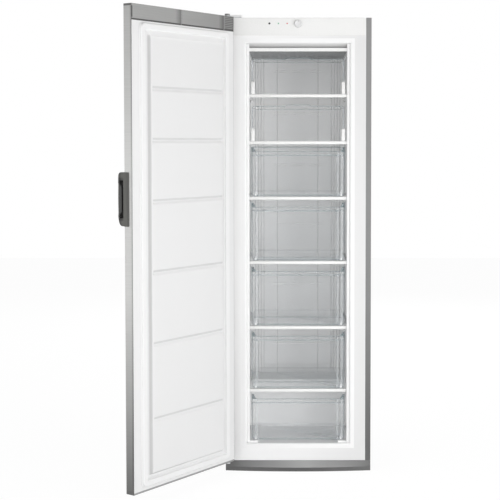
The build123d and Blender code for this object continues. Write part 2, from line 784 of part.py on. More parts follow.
with BuildPart() as hinge_cover:
    cover_nose = hinge_nose + 1.5
    cover_low = arm_low + hinge_plate
    cover_top = cabinet_height + cover_height
    with BuildSketch(Plane.XY.offset(cover_low)) as cover_plan:
        with Locations((pivot_x, pivot_y)):
            Circle(cover_nose)
        with Locations((pivot_x, (pivot_y + seat_y[0]) / 2)):
            Rectangle(2 * cover_nose, seat_y[0] - pivot_y)
        with Locations(((plate_x[0] + plate_x[1]) / 2, (seat_y[0] + seat_y[1]) / 2)):
            Rectangle(plate_x[1] - plate_x[0] + 3, seat_y[1] - seat_y[0] + 3)
    extrude(cover_plan.sketch, amount=cover_top - cover_low)
    fillet(hinge_cover.faces().sort_by(Axis.Z)[-1].edges(), 1.5)
    with BuildSketch(Plane.XY.offset(cover_low)) as cover_hollow:
        with Locations(((plate_x[0] + plate_x[1]) / 2, (seat_y[0] + seat_y[1]) / 2)):
            Rectangle(plate_x[1] - plate_x[0], seat_y[1] - seat_y[0])
    extrude(cover_hollow.sketch, amount=cover_top - cover_low - cover_wall, mode=Mode.SUBTRACT)
save(hinge_cover.part, "hinge_cover")

with BuildPart() as bottom_hinge:
    low_z = (floor_panel_bottom - lower_plate, floor_panel_bottom)
    lower_x = (-half_width + sheet + 0.2, rail_inner * -1)
    block(lower_x, (rail_front, hinge_recess - 1), low_z)
    block(arm_x, (pivot_y, rail_front), low_z)
    rod((pivot_x, pivot_y, low_z[0]), (0, 0, 1), hinge_nose, lower_plate)
    rod((pivot_x, pivot_y, low_z[1]), (0, 0, 1), pin_radius, door_bottom + pin_length - low_z[1])
    collar_height = door_bottom - low_z[1] - 1.5
    rod((pivot_x, pivot_y, low_z[1]), (0, 0, 1), bush_radius, collar_height)
    for spot in lower_screw_spots:
        rod((*spot, low_z[0] - 1), (0, 0, 1), screw_radius, lower_plate + 2, Mode.SUBTRACT)
save(bottom_hinge.part, "bottom_hinge")

with BuildPart() as hinge_screws:
    for spot in hinge_screw_spots:
        rod((*spot, cover_low), (0, 0, 1), screw_head, screw_head_height)
        rod((*spot, cover_low), (0, 0, -1), screw_radius, screw_length)
    for spot in lower_screw_spots:
        head_top = low_z[0] - rail_wall
        rod((*spot, head_top), (0, 0, -1), screw_head, screw_head_height)
        rod((*spot, head_top), (0, 0, 1), screw_radius, rail_wall + lower_plate - 0.5)
save(hinge_screws.part, "hinge_screws")

# Door


def door_slab(half, front, back, corner, z_span, mode=Mode.ADD):
    """A slab across the door whose two outer vertical edges are rounded."""
    with BuildSketch(Plane.XY.offset(z_span[0])) as plan:
        with Locations((0, (front + back) / 2)):
            Rectangle(2 * half, back - front)
        fillet(plan.vertices().group_by(Axis.Y)[0], corner)
    extrude(plan.sketch, amount=z_span[1] - z_span[0], mode=mode)


inner_round = skin_round - sheet
with BuildPart() as door_skin:
    door_z = (door_bottom, cabinet_height)
    door_slab(half_width, door_outer, door_inner, skin_round, door_z)
    door_slab(cap_x, door_outer + sheet, door_inner, inner_round, door_z, Mode.SUBTRACT)
save_door(door_skin.part, "door_skin")

strip_low = cabinet_height - door_top_strip
boss_height = bush_length + 2
boss_x = (-cap_x, -cap_x + 30)


def hinge_boss(cap_z, boss_z, bush_z, direction):
    """A door cap's plate and the block in its corner that holds a hinge bush."""
    door_slab(cap_x, *cap_y, inner_round, cap_z)
    door_slab(cap_x, cap_y[0], cap_y[1] - cap_wall, inner_round, boss_z)
    block((boss_x[1], cap_x), cap_y, boss_z, Mode.SUBTRACT)
    rod((pivot_x, pivot_y, bush_z), direction, bush_radius, bush_length, Mode.SUBTRACT)


with BuildPart() as door_top_cap:
    boss_z = (cabinet_height - boss_height, cabinet_height - door_cap)
    hinge_boss((cabinet_height - door_cap, cabinet_height), boss_z, cabinet_height, (0, 0, -1))
    block((-cap_x, cap_x), (cap_y[1] - cap_wall, cap_y[1]), (strip_low, cabinet_height - door_cap))
save_door(door_top_cap.part, "door_top_cap")

with BuildPart() as door_bottom_cap:
    boss_z = (door_bottom + door_cap, door_bottom + boss_height)
    hinge_boss((door_bottom, door_bottom + door_cap), boss_z, door_bottom, (0, 0, 1))
save_door(door_bottom_cap.part, "door_bottom_cap")

with BuildPart() as hinge_bushes:
    for start, direction in ((cabinet_height, (0, 0, -1)), (door_bottom, (0, 0, 1))):
        rod((pivot_x, pivot_y, start), direction, bush_radius, bush_length)
        rod((pivot_x, pivot_y, start), direction, hole_radius, pin_length + 1, Mode.SUBTRACT)
save_door(hinge_bushes.part, "hinge_bushes")

liner_low = door_bottom + door_cap
panel_base_z = (panel_low - panel_draft, panel_high + panel_draft)


def panel_loft(inset, start_y, end_y, mode=Mode.ADD):
    """The raised middle of the door liner: a wide base that draws in towards its face."""
    sections = []
    for y, draw in ((start_y, 0.0), (end_y, panel_draft)):
        with BuildSketch(Plane.XZ.offset(-y)) as section:
            wide = 2 * (panel_half + panel_draft - draw - inset)
            tall = panel_base_z[1] - panel_base_z[0] - 2 * (draw + inset)
            with Locations((0, (panel_base_z[0] + panel_base_z[1]) / 2)):
                RectangleRounded(wide, tall, panel_round)
        sections.append(section.sketch)
    loft(sections, mode=mode)


panel_face = door_inner + panel_rise
with BuildPart() as door_liner:
    block((-cap_x, cap_x), (door_inner - door_liner_wall, door_inner), (liner_low, strip_low))
    panel_loft(0, door_inner - 0.01, panel_face)
    for level in groove_levels:
        with BuildSketch(Plane.XZ.offset(-panel_face)) as groove:
            with Locations((0, level)):
                SlotOverall(2 * groove_half, groove_height)
        extrude(groove.sketch, amount=groove_depth, mode=Mode.SUBTRACT)
    hollow_face = panel_face - groove_depth - door_liner_wall
    panel_loft(door_liner_wall, door_inner - door_liner_wall - 0.01, hollow_face, Mode.SUBTRACT)
save_door(door_liner.part, "door_liner")

with BuildPart() as door_foam:
    foam_y = (door_outer + sheet, door_inner - door_liner_wall)
    door_slab(cap_x, *foam_y, inner_round, (liner_low, strip_low))
    upper_z = (strip_low, cabinet_height - door_cap)
    door_slab(cap_x, foam_y[0], door_inner - cap_wall, inner_round, upper_z)
    panel_loft(door_liner_wall, door_inner - door_liner_wall - 0.01, hollow_face)
    block(boss_x, cap_y, (cabinet_height - boss_height, cabinet_height), Mode.SUBTRACT)
    block(boss_x, foam_y, (door_bottom, door_bottom + boss_height), Mode.SUBTRACT)
save_door(door_foam.part, "door_foam")

with BuildPart() as door_gasket:
    gasket_outer = gasket_inner + gasket_width
    gasket_y = (door_inner, -gasket_clearance)
    block((-gasket_outer, gasket_outer), gasket_y, (gasket_low, gasket_high))
    inner_z = (gasket_low + gasket_width, gasket_high - gasket_width)
    block((-gasket_inner, gasket_inner), gasket_y, inner_z, Mode.SUBTRACT)
    fillet(door_gasket.faces().sort_by(Axis.Y)[-1].edges(), gasket_round)
save_door(door_gasket.part, "door_gasket")

with BuildPart() as handle:
    edge = half_width
    handle_z = (handle_low, handle_high)
    front_face = door_outer - handle_gap
    block((edge, edge + handle_plate), (door_outer - handle_reach, door_outer + handle_foot), handle_z)
    block((edge + handle_plate - handle_width, edge + handle_plate), (door_outer - handle_reach, front_face), handle_z)
    fillet(handle.edges().filter_by(Axis.X).group_by(Axis.Y)[0], handle_round)
    slot_x = (edge - handle_width, edge + handle_plate)
    slot_y = (door_outer - handle_reach + handle_bar, front_face)
    slot_z = (handle_slot_low, handle_slot_high)
    block(slot_x, slot_y, slot_z, Mode.SUBTRACT)
    screw_y = door_outer + handle_foot - 9
    screw_zs = (handle_low + 16, handle_high - 16)
    for screw_z in screw_zs:
        rod((edge + handle_plate, screw_y, screw_z), (-1, 0, 0), screw_head, handle_plate - 1.5, Mode.SUBTRACT)
save_door(handle.part, "handle")

with BuildPart() as handle_screws:
    for screw_z in screw_zs:
        rod((edge + 1.5, screw_y, screw_z), (1, 0, 0), screw_head - 0.2, handle_plate - 1.7)
save_door(handle_screws.part, "handle_screws")

# Air duct, evaporator, fan, heater and drain, behind the drawers
with BuildPart() as duct_cover:
    duct_z = (step_top, cavity_ceiling - 1)
    block((-duct_half, duct_half), (duct_front, duct_front + duct_wall), duct_z)
    channel_z = (step_top + duct_channel_end, cavity_ceiling - duct_channel_end)
    raised_y = duct_front - duct_raise
    block((-duct_channel_half, duct_channel_half), (raised_y, duct_front), channel_z)
    hollow_half = duct_channel_half - duct_wall
    hollow_z = (channel_z[0] + duct_wall, channel_z[1] - duct_wall)
    block((-hollow_half, hollow_half), (raised_y + duct_wall, duct_front + duct_wall), hollow_z, Mode.SUBTRACT)
    for top in shelf_tops:
        with BuildSketch(Plane.XZ.offset(1 - raised_y)) as slots:
            with Locations((0, top + duct_slot_rise)):
                with GridLocations(*duct_slot_pitch, 3, 2):
                    SlotOverall(*duct_slot)
        extrude(slots.sketch, amount=-duct_wall - 2, mode=Mode.SUBTRACT)
    rod((0, raised_y - 1, fan_z), (0, 1, 0), duct_inlet_radius, duct_wall + 2, Mode.SUBTRACT)
save(duct_cover.part, "duct_cover")

with BuildPart() as evaporator:
    fin_pitch = (2 * coil_half - fin_thickness) / (fin_count - 1)
    coil_y = (coil_front, coil_front + coil_depth)
    for index in range(fin_count):
        fin_x = -coil_half + index * fin_pitch
        block((fin_x, fin_x + fin_thickness), coil_y, (coil_low, coil_high))
    row_pitch = (coil_high - coil_low) / coil_rows
    coil_reach = coil_half + 2 * coil_end_gap
    for row in range(coil_rows):
        for tube_y in (coil_y[0] + coil_tube_inset, coil_y[1] - coil_tube_inset):
            tube_z = coil_low + (row + 0.5) * row_pitch
            rod((-coil_reach, tube_y, tube_z), (1, 0, 0), coil_tube_radius, 2 * coil_reach)
    for side in (-1, 1):
        plate_start = coil_half + coil_end_gap
        end_x = sorted((side * plate_start, side * (plate_start + coil_end_plate)))
        block(end_x, (coil_y[0] - 2 * coil_end_gap, cavity_depth), (coil_low, coil_high))
save(evaporator.part, "evaporator")

housing_back = fan_housing_front + fan_housing_depth
spoke_y = (housing_back - spoke_depth, housing_back)
with BuildPart() as fan_housing:
    bore = fan_radius + fan_clearance
    rod((0, fan_housing_front, fan_z), (0, 1, 0), bore + fan_wall, fan_housing_depth)
    rod((0, fan_housing_front, fan_z), (0, 1, 0), bore, fan_housing_depth, Mode.SUBTRACT)
    ear_y = (fan_housing_front + ear_thickness, fan_housing_front + 2 * ear_thickness)
    for side in (-1, 1):
        ear_x = sorted((side * (bore + 1), side * (bore + ear_reach)))
        block(ear_x, ear_y, (fan_z - 12, fan_z + 12))
        post_x = sorted((side * (bore + ear_reach - 12), side * (bore + ear_reach - 2)))
        block(post_x, (ear_y[1], cavity_depth), (fan_z - 8, fan_z + 8))
    for way in (-1, 1):
        span = sorted((way * (fan_motor_radius - 1), way * (bore + 1)))
        block((-spoke_width / 2, spoke_width / 2), spoke_y, (fan_z + span[0], fan_z + span[1]))
    rod((0, spoke_y[0], fan_z), (0, 1, 0), fan_motor_radius + 2, spoke_depth)
save(fan_housing.part, "fan_housing")

motor_front = spoke_y[0] - fan_motor_length
hub_y = motor_front - fan_hub_length - 1
with BuildPart() as fan_motor:
    rod((0, spoke_y[0], fan_z), (0, -1, 0), fan_motor_radius, fan_motor_length)
    rod((0, motor_front, fan_z), (0, -1, 0), fan_shaft_radius, fan_hub_length + 1)
save(fan_motor.part, "fan_motor")

with BuildPart() as fan_rotor:
    rod((0, hub_y, fan_z), (0, 1, 0), fan_hub_radius, fan_hub_length)
    blade_length = fan_radius - fan_hub_radius + 2
    with BuildSketch(Plane.XZ.offset(-hub_y)) as blades:
        with Locations((0, fan_z)):
            with PolarLocations(fan_radius - blade_length / 2, fan_blades):
                SlotOverall(blade_length, blade_width)
    extrude(blades.sketch, amount=-blade_thickness)
    rod((0, hub_y - 1, fan_z), (0, 1, 0), fan_shaft_radius + running_clearance, fan_hub_length + 2, Mode.SUBTRACT)
save(fan_rotor.part, "fan_rotor")

with BuildPart() as defrost_heater:
    heater_z = coil_low - heater_drop
    ends_y = (coil_y[0] + heater_inset, coil_y[1] - heater_inset)
    for heater_y in ends_y:
        rod((-coil_half, heater_y, heater_z), (1, 0, 0), heater_radius, 2 * coil_half)
    bend_x = (coil_half - heater_radius, coil_half + heater_radius)
    block(bend_x, ends_y, (heater_z - heater_radius, heater_z + heater_radius))
    for hanger_x in (-coil_half + 2 * heater_inset, coil_half - 4 * heater_inset):
        for heater_y in ends_y:
            hanger_z = (heater_z + heater_radius - 1, coil_low - seat)
            block((hanger_x, hanger_x + 2 * heater_inset), (heater_y - 1, heater_y + 1), hanger_z)
save(defrost_heater.part, "defrost_heater")

with BuildPart() as drain_tube:
    tray_z = (step_top, step_top + trough_height)
    tray_half = coil_half + trough_gap
    block((-tray_half, tray_half), trough_y, tray_z)
    inner_tray = (trough_y[0] + drain_wall, trough_y[1] - drain_wall)
    inner_half = tray_half - drain_wall
    block((-inner_half, inner_half), inner_tray, (step_top + drain_wall, tray_z[1]), Mode.SUBTRACT)
    rod((drain_x, drain_y, step_top), (0, 0, -1), drain_outer, step_top - drain_end)
    bore_length = step_top + drain_wall - drain_end
    rod((drain_x, drain_y, step_top + drain_wall), (0, 0, -1), drain_radius, bore_length, Mode.SUBTRACT)
save(drain_tube.part, "drain_tube")

# Machine room
crown_z = compressor_base + compressor_height
foot_z = compressor_base - foot_plate
with BuildPart() as compressor:
    rod((0, 0, compressor_base), (0, 0, 1), compressor_radius, compressor_height)
    fillet(compressor.edges().filter_by(GeomType.CIRCLE).sort_by(Axis.Z)[-1], compressor_crown)
    chamfer(compressor.edges().filter_by(GeomType.CIRCLE).sort_by(Axis.Z)[0], compressor_chamfer)
    seam_z = compressor_base + compressor_height * 0.55
    rod((0, 0, seam_z), (0, 0, 1), compressor_radius + seam_reach, seam_height)
    plate_half = [spread / 2 + margin for spread, margin in zip(grommet_spread, foot_plate_margin)]
    block((-plate_half[0], plate_half[0]), (-plate_half[1], plate_half[1]), (foot_z, compressor_base))
    with BuildSketch(Plane.XY.offset(foot_z - 1)) as grommet_holes:
        with GridLocations(*grommet_spread, 2, 2):
            Circle(grommet_neck + gland_clearance)
    extrude(grommet_holes.sketch, amount=foot_plate + 2, mode=Mode.SUBTRACT)
save(Pos(compressor_x, compressor_y, 0) * compressor.part, "compressor")

with BuildPart() as compressor_grommets:
    for grommet_x in (compressor_x - grommet_spread[0] / 2, compressor_x + grommet_spread[0] / 2):
        for grommet_y in (compressor_y - grommet_spread[1] / 2, compressor_y + grommet_spread[1] / 2):
            start = (grommet_x, grommet_y, deck_top)
            rod(start, (0, 0, 1), grommet_radius, foot_z - deck_top)
            rod(start, (0, 0, 1), grommet_neck, compressor_base + foot_plate - deck_top)
save(compressor_grommets.part, "compressor_grommets")

with BuildPart() as relay_cover:
    cover_x = compressor_x + compressor_radius + seat
    relay_y = (compressor_y - relay_depth / 2, compressor_y + relay_depth / 2)
    relay_z = compressor_base + relay_lift
    block((cover_x, cover_x + relay_width), relay_y, (relay_z, relay_z + relay_height))
    fillet(relay_cover.edges().filter_by(Axis.Y).group_by(Axis.X)[-1], relay_round)
save(relay_cover.part, "relay_cover")

with BuildPart() as evaporation_pan:
    pan_low = crown_z + pan_gap
    pan_x = [compressor_x + reach for reach in pan_reach[0]]
    pan_y = [compressor_y + reach for reach in pan_reach[1]]
    block(pan_x, pan_y, (pan_low, pan_low + pan_height))
    hollow_pan_x = (pan_x[0] + pan_wall, pan_x[1] - pan_wall)
    hollow_pan_y = (pan_y[0] + pan_wall, pan_y[1] - pan_wall)
    block(hollow_pan_x, hollow_pan_y, (pan_low + pan_wall, pan_low + pan_height), Mode.SUBTRACT)
    post_half = pan_post / 2
    post_x = (compressor_x - post_half, compressor_x + post_half)
    block(post_x, (compressor_y - post_half, compressor_y + post_half), (crown_z + seat, pan_low))
save(evaporation_pan.part, "evaporation_pan")

with BuildPart() as cord_gland:
    gland_front = deck_back - gland_length / 2
    rod((gland_x, gland_front, gland_z), (0, 1, 0), gland_radius - gland_clearance, gland_length)
    rod((gland_x, deck_back, gland_z), (0, 1, 0), gland_radius + gland_rim, gland_rim_length)
    rod((gland_x, gland_front - 1, gland_z), (0, 1, 0), cord_radius, gland_length + 2, Mode.SUBTRACT)
save(cord_gland.part, "cord_gland")

# Condenser on the back: one serpentine tube, a row of wires outside it, clips and spacers
with BuildPart() as condenser_tube:
    turn = condenser_pitch / 2
    with BuildLine() as serpentine:
        for run in range(condenser_runs):
            run_z = condenser_low + run * condenser_pitch
            way = 1 if run % 2 == 0 else -1
            start = (-way * condenser_half, condenser_y, run_z)
            end = (way * condenser_half, condenser_y, run_z)
            Line(start, end)
            if run < condenser_runs - 1:
                bulge = (way * (condenser_half + turn), condenser_y, run_z + turn)
                ThreePointArc(end, bulge, (end[0], condenser_y, run_z + condenser_pitch))
    with BuildSketch(Plane(origin=(-condenser_half, condenser_y, condenser_low), z_dir=(1, 0, 0))) as bore:
        Circle(condenser_tube_radius)
    sweep(bore.sketch, path=serpentine.line)
save(condenser_tube.part, "condenser_tube")

condenser_high = condenser_low + (condenser_runs - 1) * condenser_pitch
wire_y = condenser_y + condenser_tube_radius + wire_radius + wire_seat
with BuildPart() as condenser_wires:
    with BuildSketch(Plane.XY.offset(condenser_low - wire_overhang)) as wires:
        with Locations((0, wire_y)):
            with GridLocations(wire_pitch, 1, wire_count, 1):
                Circle(wire_radius)
    extrude(wires.sketch, amount=condenser_high - condenser_low + 2 * wire_overhang)
save(condenser_wires.part, "condenser_wires")

with BuildPart() as condenser_clips:
    clip_reach = condenser_half - clip_inset
    clip_y = (cabinet_depth, condenser_y - condenser_tube_radius - wire_seat)
    for clip_x in (-clip_reach, clip_reach):
        for run in (2, condenser_runs - 3):
            clip_z = condenser_low + run * condenser_pitch
            clip_span = (clip_x - clip_width / 2, clip_x + clip_width / 2)
            block(clip_span, clip_y, (clip_z - clip_height / 2, clip_z + clip_height / 2))
save(condenser_clips.part, "condenser_clips")

with BuildPart() as wall_spacers:
    spacer_middle = cabinet_height - spacer_drop
    spacer_half = spacer_size / 2
    for middle_x in (-spacer_x, spacer_x):
        span = (middle_x - spacer_half, middle_x + spacer_half)
        spacer_z = (spacer_middle - spacer_half, spacer_middle + spacer_half)
        block(span, (cabinet_depth, cabinet_depth + spacer_reach), spacer_z)
    fillet(wall_spacers.edges().filter_by(Axis.Y), spacer_round)
save(wall_spacers.part, "wall_spacers")


def pipe(radius, *points):
    """A round pipe along straight runs joined by tangent bends."""
    with BuildLine() as route:
        FilletPolyline(*points, radius=lead_round)
    with BuildSketch(Plane(origin=points[0], z_dir=Vector(*points[1]) - Vector(*points[0]))) as bore:
        Circle(radius)
    sweep(bore.sketch, path=route.line)


with BuildPart() as refrigerant_lines:
    tube = condenser_tube_radius
    side_x = compressor_x - compressor_radius - seat
    discharge_z = compressor_base + discharge_up
    pipe(
        tube,
        (side_x, compressor_y, discharge_z),
        (-lead_x, compressor_y, discharge_z),
        (-lead_x, condenser_y, discharge_z),
        (-lead_x, condenser_y, condenser_low),
        (-condenser_half, condenser_y, condenser_low),
    )
    liquid_x = lead_x + line_shift
    drier_z = discharge_z + drier_up
    drier_y = condenser_y - drier_inset
    pipe(
        tube,
        (-condenser_half, condenser_y, condenser_high),
        (-liquid_x, condenser_y, condenser_high),
        (-liquid_x, condenser_y, drier_z),
        (-liquid_x, drier_y, drier_z),
    )
    rod((-liquid_x, drier_y, drier_z), (0, -1, 0), drier_radius, drier_length)
    drier_rims = refrigerant_lines.edges().filter_by(GeomType.CIRCLE).filter_by(lambda rim: rim.radius > tube * 2)
    chamfer(drier_rims, drier_chamfer)
    roof_under = room_roof - panel_sheet
    capillary_y = drier_y - drier_length
    pipe(
        capillary_radius,
        (-liquid_x, capillary_y, drier_z),
        (-liquid_x, capillary_y - capillary_run, drier_z),
        (-liquid_x, capillary_y - capillary_run, roof_under),
    )
    suction_y = compressor_y - compressor_radius - seat
    pipe(
        suction_radius,
        (compressor_x, suction_y, discharge_z),
        (compressor_x, suction_y - suction_run, discharge_z),
        (compressor_x, suction_y - suction_run, roof_under),
    )
save(refrigerant_lines.part, "refrigerant_lines")
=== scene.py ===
import json
import math

import bmesh
import bpy
import numpy as np
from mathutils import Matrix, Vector


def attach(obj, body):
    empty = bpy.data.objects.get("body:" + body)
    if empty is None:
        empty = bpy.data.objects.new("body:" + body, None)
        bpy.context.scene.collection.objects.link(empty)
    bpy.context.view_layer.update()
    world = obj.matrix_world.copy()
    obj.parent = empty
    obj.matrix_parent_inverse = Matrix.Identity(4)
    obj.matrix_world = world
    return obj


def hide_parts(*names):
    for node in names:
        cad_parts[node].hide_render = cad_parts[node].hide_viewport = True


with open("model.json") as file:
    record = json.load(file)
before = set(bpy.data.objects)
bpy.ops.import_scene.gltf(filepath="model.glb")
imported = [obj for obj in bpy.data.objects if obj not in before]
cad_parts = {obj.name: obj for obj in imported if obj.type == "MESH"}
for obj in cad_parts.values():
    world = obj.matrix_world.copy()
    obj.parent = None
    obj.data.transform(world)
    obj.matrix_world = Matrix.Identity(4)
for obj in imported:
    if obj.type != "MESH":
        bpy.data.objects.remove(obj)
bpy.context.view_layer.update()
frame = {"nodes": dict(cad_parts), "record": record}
nodes = frame["nodes"]
print("frame loaded:", len(nodes), "nodes")


def linked(item):
    # Puts a new object into the scene.
    bpy.context.scene.collection.objects.link(item)
    return item


# The door hangs on this pivot and stands open; its own pieces are drawn closed and then swung.
door = {"pivot": (-0.2851, -0.034), "openDegrees": 125.6}
doorAngle = math.radians(door["openDegrees"])


def swing(points):
    # Turns points of the closed door about the hinge pivot: x and y by a plane rotation, z unchanged.
    points = np.array(points, float)
    cos, sin = math.cos(-doorAngle), math.sin(-doorAngle)
    dx, dy = points[..., 0] - door["pivot"][0], points[..., 1] - door["pivot"][1]
    x = door["pivot"][0] + dx * cos - dy * sin
    y = door["pivot"][1] + dx * sin + dy * cos
    return np.stack([x, y, points[..., 2]], axis=-1)


# Shader sums: a wire wraps one socket, and each operator adds a Math node.
class Wire:
    def __init__(self, shader, socket):
        self.shader, self.socket = shader, socket

    def maths(self, operation, other, flipped=False):
        pair = [other, self] if flipped else [self, other]
        return self.shader.node("ShaderNodeMath", {"operation": operation}, dict(enumerate(pair)))

    def __add__(self, other):
        return self.maths("ADD", other)

    def __sub__(self, other):
        return self.maths("SUBTRACT", other)

    def __rsub__(self, other):
        return self.maths("SUBTRACT", other, True)

    def __mul__(self, other):
        return self.maths("MULTIPLY", other)

    def __gt__(self, other):
        return self.maths("GREATER_THAN", other)

    def __lt__(self, other):
        return self.maths("LESS_THAN", other)

    __radd__, __rmul__ = __add__, __mul__


class Shader:
    def __init__(self, name, world=None, **constants):
        self.material = world or bpy.data.materials.new(name)
        self.material.use_nodes = True
        self.tree = self.material.node_tree
        self.surface = self.tree.nodes["Background" if world else "Principled BSDF"]
        for key, value in constants.items():
            self.surface.inputs[key.replace("_", " ")].default_value = value

    def node(self, kind, settings=None, inputs=None, output=0):
        made = self.tree.nodes.new(kind)
        for key, value in (settings or {}).items():
            setattr(made, key, value)
        for key, value in (inputs or {}).items():
            if isinstance(value, Wire):
                self.tree.links.new(value.socket, made.inputs[key])
            else:
                made.inputs[key].default_value = value
        return Wire(self, made.outputs[output])

    def feed(self, **wires):
        for key, wire in wires.items():
            self.tree.links.new(wire.socket, self.surface.inputs[key.replace("_", " ")])

    def place(self, scale=(1, 1, 1), turn=0.0, move=(0, 0, 0)):
        where = self.node("ShaderNodeTexCoord", output="Object")
        inputs = {"Vector": where, "Scale": scale, "Rotation": (0, 0, turn), "Location": move}
        return self.node("ShaderNodeMapping", None, inputs)

    def noise(self, where, scale, detail=3.0, roughness=0.5):
        inputs = {"Vector": where, "Scale": scale, "Detail": detail, "Roughness": roughness}
        return self.node("ShaderNodeTexNoise", None, inputs)

    def spread(self, wire, low, high, start=0.0, end=1.0):
        inputs = {"Value": wire, "From Min": start, "From Max": end, "To Min": low, "To Max": high}
        return self.node("ShaderNodeMapRange", None, inputs)

    def blend(self, factor, first, second):
        # Sockets 0, 6 and 7 of a Mix node are its factor and its two colours, and output 2 is the colour.
        colours = [(*value, 1) if isinstance(value, tuple) else value for value in (first, second)]
        inputs = dict(zip((0, 6, 7), (factor, *colours)))
        return self.node("ShaderNodeMix", {"data_type": "RGBA"}, inputs, 2)

    def mark(self, name):
        return self.node("ShaderNodeAttribute", {"attribute_name": name}, None, "Fac")

    def axis(self, where, letter):
        return self.node("ShaderNodeSeparateXYZ", None, {"Vector": where}, letter)

    def shut(self):
        # The door's own coordinates: Object coordinates turned back about the pivot, as if it were shut.
        cos, sin = math.cos(doorAngle), math.sin(doorAngle)
        px, py = door["pivot"]
        return self.place(turn=doorAngle, move=(px - px * cos + py * sin, py - px * sin - py * cos, 0))

    def seen(self):
        # 1 for rays from the camera, off a shiny surface or through glass, and 0 for light that falls on
        # things: 1 - (1 - camera) * (1 - glossy) * (1 - through).
        kinds = ("Is Camera Ray", "Is Glossy Ray", "Is Transmission Ray")
        camera, glossy, through = [self.node("ShaderNodeLightPath", output=kind) for kind in kinds]
        return 1 - (1 - camera) * (1 - glossy) * (1 - through)

    def bump(self, height, strength, distance):
        inputs = {"Height": height, "Strength": strength, "Distance": distance}
        return self.node("ShaderNodeBump", None, inputs)


def grey(level):
    return (level, level, level)


# Fine structure of the finishes: noise scales, spans of tone and roughness, and bump distances in metres,
# with the colours, shares and opacities of the painted shade and painted highlight marks.
grain = {
    "noiseRange": (0.3, 0.7),
    "driftScale": 2.5,
    "fineTimes": 8,
    "mouldedGloss": 0.06, "mouldedDepth": 0.0004,
    "cloudScale": 1.5, "cloudTone": 0.03,
    "streakDark": 0.6, "streakLight": 1.4, "streakRim": 0.15,
    "brushedGloss": 0.08, "brushedRipple": 0.25, "brushedDepth": 0.0002,
    "waveScale": 14.0, "waveDark": 0.94, "waveGloss": 0.05, "waveDepth": 0.001,
    "grazingBlend": 0.35,
    "clearRim": (0.1, 0.17, 0.19),
    "rimOpacity": 0.55,
    "glintColour": grey(0.95), "glintOpacity": 0.8,
}


def scaled(colour, share):
    # A lighter or darker colour, its parts kept at 1 or below.
    return tuple(min(1.0, part * share) for part in colour)


def moulded(name, colour, shade, gloss, ripple, scale, paintedShadeColour=grey(0.02), **constants):
    # Moulded or painted surface: a slow drift in tone, a faint orange-peel ripple, uneven gloss, and painted
    # shade where a piece is marked.
    shader = Shader(name, **constants)
    where = shader.place()
    drift = shader.noise(where, grain["driftScale"])
    fine = shader.noise(where, scale * grain["fineTimes"], 2.0)
    plain = shader.blend(drift, scaled(colour, 1 - shade), colour)
    shader.colour = shader.blend(shader.mark("rim"), plain, paintedShadeColour)
    shader.feed(Base_Color=shader.colour)
    span = grain["mouldedGloss"]
    shader.feed(Roughness=shader.spread(fine, gloss - span, gloss + span, *grain["noiseRange"]))
    shader.feed(Normal=shader.bump(fine, ripple, grain["mouldedDepth"]))
    return shader


def brushed(name, colour, scale, contrast, gloss, **constants):
    # Brushed metal: long streaks of noise, stretched along one direction, and painted shade where a piece
    # is marked.
    shader = Shader(name, **constants)
    streaks = shader.noise(shader.place(scale), 1.0, 4.0, 0.7)
    cloud = shader.noise(shader.place(), grain["cloudScale"])
    tone = shader.spread(streaks, -contrast, contrast, *grain["noiseRange"])
    tone = tone + shader.spread(cloud, -grain["cloudTone"], grain["cloudTone"])
    dark, light = scaled(colour, grain["streakDark"]), scaled(colour, grain["streakLight"])
    metal = shader.blend(tone + 0.5, dark, light)
    shader.colour = shader.blend(shader.mark("rim"), metal, scaled(colour, grain["streakRim"]))
    shader.feed(Base_Color=shader.colour)
    span = grain["brushedGloss"]
    shader.feed(Roughness=shader.spread(streaks, gloss - span, gloss + span, *grain["noiseRange"]))
    shader.feed(Normal=shader.bump(streaks, grain["brushedRipple"], grain["brushedDepth"]))
    return shader


def clear(name, colour, opacity, edgeOpacity, gloss, ripple):
    # Clear moulding: seen through face on, denser where the view grazes it, painted shade along the marked
    # rims and a painted white highlight where a glint is marked.
    shader = Shader(name, IOR=1.49)
    wave = shader.noise(shader.place(), grain["waveScale"])
    grazing = shader.node("ShaderNodeLayerWeight", None, {"Blend": grain["grazingBlend"]}, "Facing")
    rim, glint = shader.mark("rim"), shader.mark("glint")
    plain = shader.blend(wave, scaled(colour, grain["waveDark"]), colour)
    rimmed = shader.blend(rim, plain, grain["clearRim"])
    shader.feed(Base_Color=shader.blend(glint, rimmed, grain["glintColour"]))
    marks = rim * grain["rimOpacity"] + glint * grain["glintOpacity"]
    shader.feed(Alpha=(shader.spread(grazing, opacity, edgeOpacity) + marks).maths("MINIMUM", 1.0))
    shader.feed(Roughness=shader.spread(wave, gloss, gloss + grain["waveGloss"]))
    shader.feed(Normal=shader.bump(wave, ripple, grain["waveDepth"]))
    return shader


# Darker parts of the door's sheet, as share at start, share at end, start and end in its depth or height;
# the darkening towards the foot and the head is painted shade.
doorSheet = {
    "colour": (0.66, 0.66, 0.65), "streaks": (3, 3, 900), "shadow": grey(0.05),
    "face": (0.26, 0.0, -0.0524, -0.0505), "inner": (0.0, 0.3, -0.022, -0.0125),
    "foot": (0.84, 0.0, 0.05, 0.8), "head": (0.0, 0.34, 1.3, 1.85),
    "edgeFront": -0.0515,
    "seam": -0.014, "seamShade": 0.35,
    "beads": (0.064, 1.846), "beadShade": 0.6,
    "mostShade": 0.85,
}


